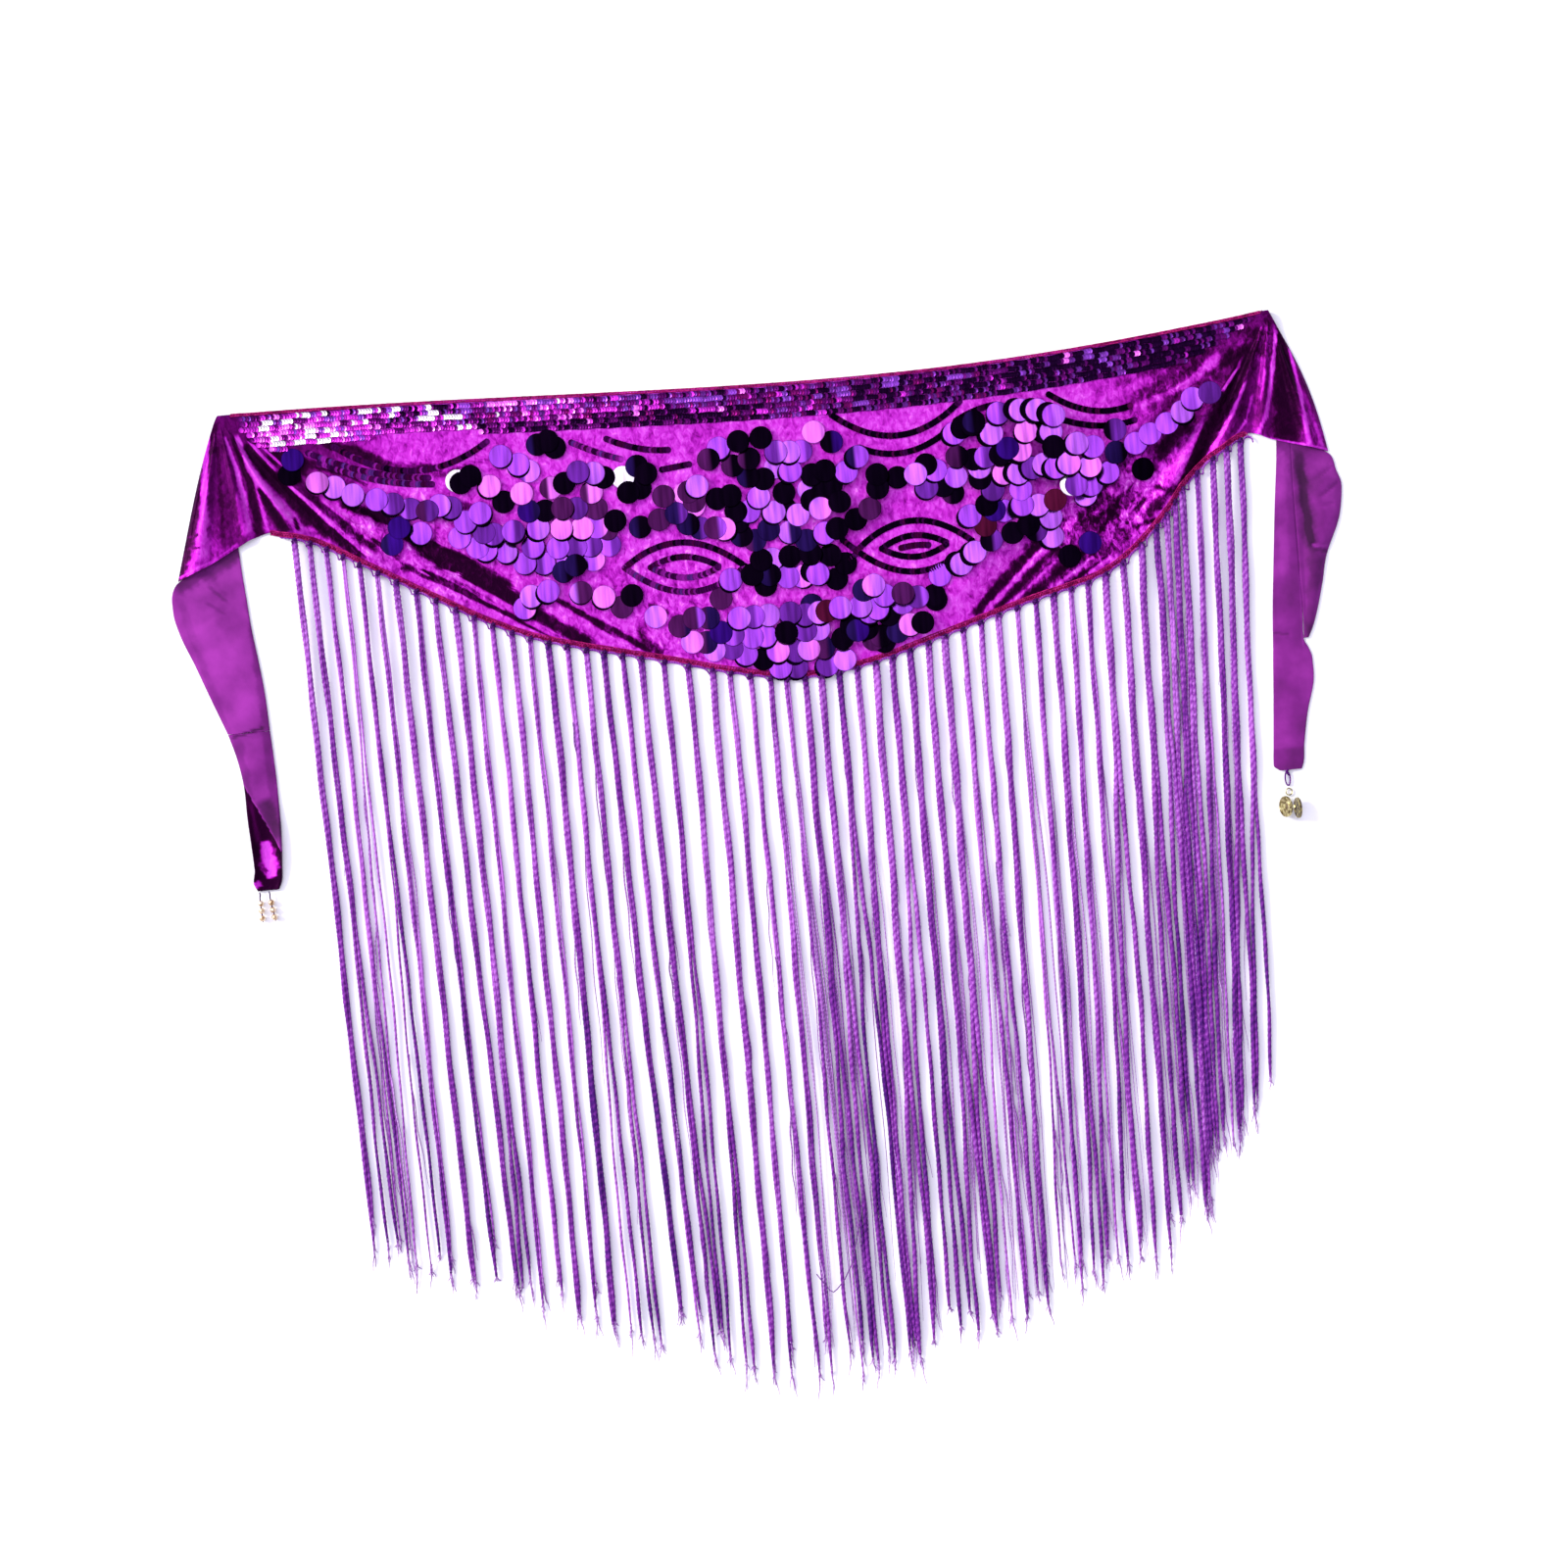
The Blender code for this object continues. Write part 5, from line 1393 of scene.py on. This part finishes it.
PAILLETTES = {              # by left and right tint: across, down and, for some, a layer up or down
    ("violet", "violet"): (
        (208, 51), (221, 58.5), (111, 75), (176.5, 98.5), (188.5, 93), (142, 103.5), (171, 110),
        (184, 119), (245, 125), (218.5, 134.5), (234.5, 157.5), (374.5, 61.5), (393, 112), (449, 134.5),
        (470, 89.5), (374, 162.5), (417.5, 165), (440.5, 165, 0.1), (386, 208), (396, 208), (380, 220.5),
        (405, 233), (555, 68.5), (538, 95), (601, 116.5), (601, 128.5), (190, 121.5), (560.5, 132.5),
        (533.5, 175), (489.5, 186.5), (477, 198), (503, 193.5), (658.5, 90), (668.5, 110.5), (655, 118),
        (703, 84.5), (716.5, 78), (691.5, 90.5), (427.5, 84.5), (483, 196),
    ),
    ("violet", "dusk"): (
        (123, 79.5), (197, 110), (212.5, 109.5), (284.5, 127), (577, 89), (135.5, 84.5), (589.5, 57),
        (437, 70.5), (371.5, 204.5), (270, 126),
    ),
    ("dusk", "violet"): (
        (226, 122.5), (258.5, 126), (388.5, 192.5), (514.5, 190), (587, 131), (441, 235), (233, 136),
        (643, 117.5, 0.1),
    ),
    ("violet", "lilac"): (
        (158, 84), (205, 124.5), (401.5, 102), (377.5, 192.5), (455, 192.5, 0.2), (470.5, 193),
        (631, 63.5, 0.85), (737, 61.5), (553, 101.5), (251.5, 136), (231.5, 109), (629, 103, 0.26),
    ),
    ("dusk", "lilac"): ((228.5, 64.5), (277.5, 71), (418, 69)),
    ("dusk", "dusk"): (
        (166.5, 86.5), (190, 108), (266, 69), (418.5, 222), (417.5, 234), (416.5, 192.5), (369.5, 215),
        (427, 207), (530, 107.5), (580, 114.5), (611.5, 101.5, 0.1), (750.5, 58.5), (428, 195),
    ),
    ("lilac", "lilac"): (
        (600.5, 104, 0.1), (438.5, 194.5), (79.5, 62), (221, 160), (355.5, 89), (412, 114.5),
        (416.5, 80.5, -1), (400, 192.5), (356, 215), (437, 207), (454.5, 232), (522.5, 96.5, 1), (583, 72),
        (606.5, 56.5, 0.25), (619, 58, 0.5), (571.5, 96.5), (620, 99.5, 0.1), (628, 75.5, 0.1),
        (646.5, 86.5), (650, 125.5), (622, 139.5), (622, 154.5), (561.5, 160.5, 0.1), (550.5, 168.5, 0.1),
        (728.5, 70.5), (613, 130), (93.5, 69.5, 1), (430, 118.5), (428, 70), (407, 150, -1),
        (440, 100, -1),
    ),
    ("lilac", "pink"): (
        (314, 185), (340, 207), (428, 221.5), (655, 104.5), (447.5, 115.5, 0.3), (639, 101, 0.3),
    ),
    ("pink", "pink"): (
        (67, 57.5), (197.5, 73), (221.5, 81), (249, 110.5), (265, 112), (276, 166), (448, 56.5), (609, 73),
        (507, 210.5), (372.8, 123.5, 0.6), (603.5, 87), (589.5, 103), (345.5, 93.5, -1),
        (351.5, 103.5, -1),
    ),
    ("white", "white"): ((299.5, 76.5), (173, 66.5, -1)),
    ("plum", "pink"): ((244, 79), (274.5, 85.5)),
    ("lilac", "plum"): ((259, 161),),
    ("plum", "violet"): ((366, 122, 0.7), (343, 189)),
    ("lilac", "navy"): ((422.5, 131),),
    ("violet", "pink"): ((428.5, 165.5), (276, 112.5), (404.5, 220.5), (271, 137), (215, 168.5)),
    ("white", "lilac"): ((639.5, 117),),
    ("pink", "lilac"): ((482, 178),),
    ("navy", "violet"): ((479.5, 79),),
    ("indigo", "navy"): ((225.5, 95),),
    ("navy", "indigo"): ((119.5, 110), (466.5, 211, 0.3)),
    ("plum", "dusk"): ((148.5, 87.5, 1), (262, 96.5)),
    ("navy", "dusk"): ((337.5, 108), (354.5, 121)),
    ("maroon", "maroon"): ((444.5, 194, 0.1), (571.5, 141), (626, 127.5)),
    ("plum", "black"): ((366, 69.5, 1), (384, 76), (397, 72), (549.5, 113.5), (555, 86.5), (484, 217)),
    ("plum", "navy"): ((331.5, 194), (354, 190), (350.5, 208.5), (395.5, 134.5), (439.5, 221.5)),
    ("black", "indigo"): ((461, 65.5),),
    ("black", "dusk"): ((609.5, 148), (677, 78.5), (575, 153)),
    ("black", "black"): (
        (176, 68.5), (183.5, 64), (207, 86), (250, 48.5), (245, 43), (254.5, 76.5), (285, 75), (238, 96),
        (302.5, 88.5, 1), (312, 86), (317.5, 75.5, 1), (290.5, 109), (297.5, 167), (390, 58), (407.5, 57),
        (406.5, 88.5), (477.5, 80), (369.5, 100), (380, 98.5), (383, 111), (384, 119), (421, 100.5),
        (443.5, 89), (453.5, 87), (457.5, 98.5), (441.5, 108.5), (462.5, 112, 0.4), (450, 103.5),
        (421, 113, -0.3), (473.5, 126.5), (458.5, 132), (390.5, 160.5), (398.5, 150), (420.5, 149.5),
        (436.5, 149), (451.5, 151.5), (462.5, 159), (454.5, 170), (400, 169.5), (412, 207, 1),
        (392.5, 225.5), (462, 206), (454.5, 216), (493, 94), (492.5, 104.5), (508.5, 97.5), (531, 90),
        (542.5, 107.5), (561, 65), (567.5, 90), (588, 88.5), (571, 105), (602, 55.5, 0.1),
        (614.5, 57, 0.35), (622.5, 74), (626.5, 61.5, 0.65), (628.5, 87, 1), (597, 103.5, 0.05),
        (609, 100, 0.03), (626, 104, 0.25), (637, 101.5, 0.27), (574, 125.5), (527.5, 190), (591.5, 149),
        (604, 144), (633.5, 170.5), (695.5, 110), (528.5, 193.5), (516.5, 210), (491.5, 201.5),
        (486, 221.5), (474, 210), (436, 162.5), (558.5, 161), (546.5, 167), (46, 49.5), (569, 64),
        (411, 155, -1),
    ),
    ("navy", "black"): (
        (676, 95.5), (237, 45), (311, 69), (309, 115.5), (345.5, 117), (385.5, 130), (247.5, 144, 1),
        (257, 140, 1), (395, 85.5), (404, 162), (570.5, 61.5),
    ),
    ("navy", "navy"): ((406.5, 127.5), (434.5, 138.5), (497, 215), (433.5, 188, -1), (474, 181)),
    ("indigo", "indigo"): ((594, 84.5), (126, 98), (579.5, 130), (650, 162), (362.5, 202), (49.5, 38)),
    ("plum", "plum"): (
        (251.5, 95.5), (277, 98), (284, 114.5), (329, 94), (324, 111.5), (348.5, 92.5), (352, 100),
        (289, 175), (485, 119.5), (503.5, 186.5, 1), (478, 219), (365, 176),
    ),
}


def lying_height(setting, x, y):
    """Height of a disc's plane over one place."""
    centre, normal = setting.translation, setting.col[2]
    return centre.z - (normal.x * (x - centre.x) + normal.y * (y - centre.y)) / normal.z


def hang_paillette(across, down, seed, hung):
    """Where a disc hangs: leaning from its upper edge, clear of the discs already hung."""
    lean = PAILLETTE_LEAN + PAILLETTE_SWAY * (uneven(seed + 0.3) - 0.5)
    roll = PAILLETTE_ROLL + PAILLETTE_SWAY * (uneven(seed + 0.7) - 0.5)
    rise = SEWN_RISE + PAILLETTE_RADIUS * math.sin(math.radians(lean))
    setting = sequin_setting(across, down, 0.0, 0.0, rise)
    setting = setting @ Matrix.Rotation(math.radians(-lean), 4, "X")
    setting = setting @ Matrix.Rotation(math.radians(-roll), 4, "Y")
    radius, lift = PAILLETTE_RADIUS * MM, 0.0
    for step in range(12):
        angle = math.radians(30.0 * step)
        rim = setting @ Vector((0.92 * radius * math.cos(angle), 0.92 * radius * math.sin(angle), 0.0))
        under, _, _, _ = cloth_tree.ray_cast(Vector((rim.x, rim.y, 60.0 * MM)), Vector((0.0, 0.0, -1.0)))
        if under is not None:
            lift = max(lift, under.z + CLEAR_OF_CLOTH * MM - rim.z)
    for other in hung:
        way = (other.translation - setting.translation).xy
        if not 1e-6 < way.length < 1.94 * radius:
            continue
        ahead = way.normalized()
        aside = Vector((-ahead.y, ahead.x)) * math.sqrt(radius ** 2 - 0.25 * way.length_squared) * 0.9
        middle = setting.translation.xy + way * 0.5
        reach = ahead * (radius - 0.5 * way.length) * 0.95
        for spot in (middle, middle + aside, middle - aside, middle + reach, middle - reach):
            lift = max(lift, lying_height(other, *spot) + LAP * MM - lying_height(setting, *spot))
    return Matrix.Translation((0.0, 0.0, lift)) @ setting


wanted = []
for (left_tint, right_tint), places in PAILLETTES.items():
    for across, down, *over in places:
        layer = down - LAYER_STEP * (over[0] if over else 0.0)
        wanted.append((layer, across, down, left_tint, right_tint))
        seed = across * 0.37 + down * 0.61
        crowded = CROWDED_FROM < across < CROWDED_TO
        # Many a light disc gets a black disc just behind and below it: partly a real disc, partly painted
        # shade and black reflection along its lower edge, most often in the crowded right cluster.
        if left_tint in BACKED_TINTS and uneven(seed) < (CROWDED_SHARE if crowded else BACKED_SHARE):
            behind = across + 2.8 * (uneven(seed + 2.0) - 0.6) - (1.3 if crowded else 0.0)
            below = down + 0.7 + 1.1 * uneven(seed + 3.0)
            wanted.append((layer + 0.1, behind, below, "black", "black"))
wanted.sort(reverse=True)
disc_settings, left_tints, right_tints, disc_seeds = [], [], [], []
for index, (_, across, down, left_tint, right_tint) in enumerate(wanted):
    disc_settings.append(hang_paillette(across, down, across * 1.9 + down, disc_settings))
    bright = 0.86 + 0.3 * uneven(index * 0.83)
    for tints, tint_name in ((left_tints, left_tint), (right_tints, right_tint)):
        tints.append(np.array(PAILLETTE_PAINTED_REFLECTIONS[tint_name]) * (bright, bright, bright, 1.0))
    disc_seeds.append(uneven(index * 1.31))


def make_disc_foil():
    """Flat metallised film with painted reflections: one tint on its left and one on its right, in
    upright stripes."""
    finish, tree, shader = shader_material("paillette_foil", 0.2, 1.0)
    face = attribute(tree, "face", "Vector")
    spread = add_node(tree, "VectorMath", {0: face, 1: (1.5, 0.16, 43.0)}, operation="MULTIPLY")
    stripes = noise(tree, spread.outputs[0], 1.7, 1.6)
    split = add_node(tree, "SeparateXYZ", {0: face})
    border = calculate(tree, "MULTIPLY_ADD", split.outputs["Z"], 0.9, -0.45)    # where the left tint ends
    beyond = calculate(tree, "SUBTRACT", split.outputs["X"], border)
    past = add_node(tree, "MapRange", {"Value": beyond, "From Min": -0.22, "From Max": 0.22},
                    interpolation_type="SMOOTHSTEP")
    mix = add_node(tree, "Mix", {"Factor": past.outputs[0], "A": attribute(tree, "tint", "Color"),
                                 "B": attribute(tree, "tint_right", "Color")}, data_type="RGBA")
    bright = brightness(tree, stripes, 0.34, 0.66, 0.60, 1.16)
    set_inputs(tree, shader, {"Base Color": scale_colour(tree, mix.outputs["Result"], bright)})
    add_bump(tree, shader, stripes, 0.0003, 0.4)
    return finish


disc_shape = model_sequin("paillette", PAILLETTE_SIDES, PAILLETTE_RADIUS, PAILLETTE_DISH, PAILLETTE_WALL,
                          rim=PAILLETTE_RIM)
discs = scatter("paillettes", disc_shape, disc_settings, left_tints, make_disc_foil(), 40.0, RIM_PAINTED_SHADE)
disc_points = disc_shape[0][:, :2] / (PAILLETTE_RADIUS * MM)
right_layer = discs.data.color_attributes.new("tint_right", "FLOAT_COLOR", "POINT")
# Painted shade on each disc's rim, for the right-hand tint as well.
on_rim = (np.hypot(*disc_points.T) > RIM_FROM)[None, :, None]
right_colours = np.array(right_tints)[:, None, :] * np.where(on_rim, RIM_PAINTED_SHADE, 1.0)
right_layer.data.foreach_set("color", right_colours.astype(np.float32).ravel())
face_layer = discs.data.attributes.new("face", "FLOAT_VECTOR", "POINT")
faces_seen = np.concatenate([np.column_stack((disc_points, np.full(len(disc_points), seed)))
                             for seed in disc_seeds])
face_layer.data.foreach_set("vector", faces_seen.astype(np.float32).ravel())
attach(discs, "root")

# --- Charms -------------------------------------------------------------------------------------------
# The right tie ends in a thread loop with a small ring and two plain brass coins. The left one
# has two threads of round brass beads.

COIN_RADIUS, COIN_THICKNESS, COIN_SIDES, COIN_RELIEF = 8.0, 0.9, 48, 0.45
COIN_STEPS = (              # inset of the face, then its rise as a share of the relief
    (0.0, 0.5), (0.75, 0.0), (0.3, -0.5), (1.9, 0.0), (0.25, 0.45), (0.6, 0.0), (0.3, -0.45),
    (1.6, 0.0), (0.4, 0.3),
)
COINS = {                   # across, down, tilt, rise
    "coin_left": (778.2, 377.6, -60.0, 7.45),
    "coin_right": (787.3, 379.4, 62.0, 7.6),
}
THREAD_LOOP = (782.5, 356.6, 1.9, 5.2, 1.3)     # across, down, half width, half length, rise
COIN_RING = (782.5, 366.6, 2.4, 2.6, 1.1)
LOOP_THREAD_RADIUS, TUFT_RADIUS, RING_RADIUS, RING_POINTS = 0.6, 0.75, 0.45, 28
TUFT_TOP, TUFT_LENGTH, TUFT_RISE = 349.0, 5.0, 1.9
BEAD_RADIUS, BEADS, FIRST_BEAD, BEAD_SPACING, STRING_TOP = 2.3, 3, 373.0, 5.7, 364.3
BEAD_ANGLES = (-84, -66, -48, -30, -12, 6, 24, 42, 60, 84)
BEAD_STRINGS = {"beads_left": (-8.6, -8.4), "beads_right": (-1.4, 1.4)}     # across at top and bottom


def make_brass(name, low, middle, high):
    """Worn brass plate, with tarnish in the low places."""
    finish, tree, shader = shader_material(name, 0.3, 1.0)
    wear = noise(tree, object_coords(tree), 420.0, 4.0)
    set_inputs(tree, shader, {"Base Color": colour_ramp(tree, wear, ((0.36, low), (0.48, middle),
                                                                     (0.62, high)))})
    add_bump(tree, shader, wear, 0.0003, 0.5)
    return finish


brass = make_brass("worn_brass", srgb(96, 78, 48), srgb(176, 164, 102), srgb(222, 214, 156))
# A darker copy of the brass: painted shade on the right coin's face.
shaded_brass = make_brass("brass_in_painted_shade", srgb(34, 18, 12), srgb(92, 72, 32), srgb(176, 164, 96))
pale_brass = make_brass("pale_brass", srgb(150, 104, 70), srgb(226, 196, 154), srgb(255, 240, 214))


def model_coin(name, across, down, tilt, rise, finish):
    """A thin coin with a raised rim, a raised ring and a plain raised middle, on both faces."""
    select_none()
    bpy.ops.mesh.primitive_cylinder_add(vertices=COIN_SIDES, radius=COIN_RADIUS * MM,
                                        depth=0.5 * COIN_THICKNESS * MM, location=(0.0, 0.0, 0.0))
    coin = bpy.context.object
    coin.name = name
    bpy.ops.object.mode_set(mode="EDIT")
    bpy.ops.mesh.select_mode(type="FACE")
    bpy.ops.mesh.select_all(action="DESELECT")
    for side in (1.0, -1.0):
        bpy.ops.object.mode_set(mode="OBJECT")
        for face in coin.data.polygons:
            face.select = face.normal.z * side > 0.9
        bpy.ops.object.mode_set(mode="EDIT")
        for inset, lift in COIN_STEPS:
            if inset:
                bpy.ops.mesh.inset(thickness=inset * MM, depth=0.0)
            if lift:
                height = side * lift * COIN_RELIEF * COIN_THICKNESS * MM
                bpy.ops.transform.translate(value=(0.0, 0.0, height))
        bpy.ops.mesh.select_all(action="DESELECT")
    bpy.ops.object.mode_set(mode="OBJECT")
    coin.data.transform(Matrix.Translation(place(across, down, rise))
                        @ Matrix.Rotation(math.radians(tilt), 4, "Y"))
    coin.data.shade_smooth()
    coin.data.set_sharp_from_angle(angle=math.radians(35.0))
    coin.data.materials.append(finish)
    return coin


for coin_name, (coin_across, coin_down, coin_tilt, coin_rise) in COINS.items():
    # The right coin takes the brass copy with painted shade.
    coin_finish = shaded_brass if coin_name == "coin_right" else brass
    coin = model_coin(coin_name + "_struck", coin_across, coin_down, coin_tilt, coin_rise, coin_finish)
    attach(coin, "root")
    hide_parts(coin_name)


def ring_path(across, down, half_width, half_length, rise):
    """Places once round an upright oval."""
    turns = [2 * math.pi * step / RING_POINTS for step in range(RING_POINTS + 1)]
    return [place(across + half_width * math.cos(turn), down + half_length * math.sin(turn), rise)
            for turn in turns]


loop = Strands()
loop.add(ring_path(*THREAD_LOOP), LOOP_THREAD_RADIUS, 7,
         [0.3 + 0.4 * uneven(index) for index in range(RING_POINTS + 1)])
tuft = [place(THREAD_LOOP[0] + 0.9 * math.sin(part * 9.0), TUFT_TOP + TUFT_LENGTH * part, TUFT_RISE)
        for part in np.linspace(0, 1, 12)]
loop.add(tuft, TUFT_RADIUS, 6, 0.3)
loop_piece = loop.finish("charm_thread", knot_thread)
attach(loop_piece, "root")
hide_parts("thread_loop")

ring = Strands()
ring.add(ring_path(*COIN_RING), RING_RADIUS, 7)
ring_piece = ring.finish("charm_ring", brass)
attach(ring_piece, "root")
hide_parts("coin_ring")

for string_name, (string_top, string_bottom) in BEAD_STRINGS.items():
    beads, thread_line = Strands(), Strands()
    angles = [math.radians(angle) for angle in BEAD_ANGLES]
    last = FIRST_BEAD + (BEADS - 1) * BEAD_SPACING + BEAD_RADIUS + 0.4
    for bead in range(BEADS):
        middle = FIRST_BEAD + bead * BEAD_SPACING
        part = (middle - STRING_TOP) / (last - STRING_TOP)
        centre = string_top + (string_bottom - string_top) * part
        beads.add([place(centre, middle + BEAD_RADIUS * math.sin(angle), CLEAR_OF_FLOOR + BEAD_RADIUS)
                   for angle in angles], [BEAD_RADIUS * math.cos(angle) for angle in angles], 16)
    thread_line.add([place(string_top + (string_bottom - string_top) * part + 0.25 * math.sin(part * 20.0),
                           STRING_TOP + (last - STRING_TOP) * part, CLEAR_OF_FLOOR + BEAD_RADIUS)
                     for part in np.linspace(0.0, 1.0, 24)], 0.5, 6, 0.1)
    beads_piece = beads.finish(string_name + "_brass", pale_brass)
    thread_piece = thread_line.finish(string_name + "_thread", knot_thread)
    for piece, slot in ((beads_piece, "brass"), (thread_piece, "thread")):
        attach(piece, "root")
        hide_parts(string_name)
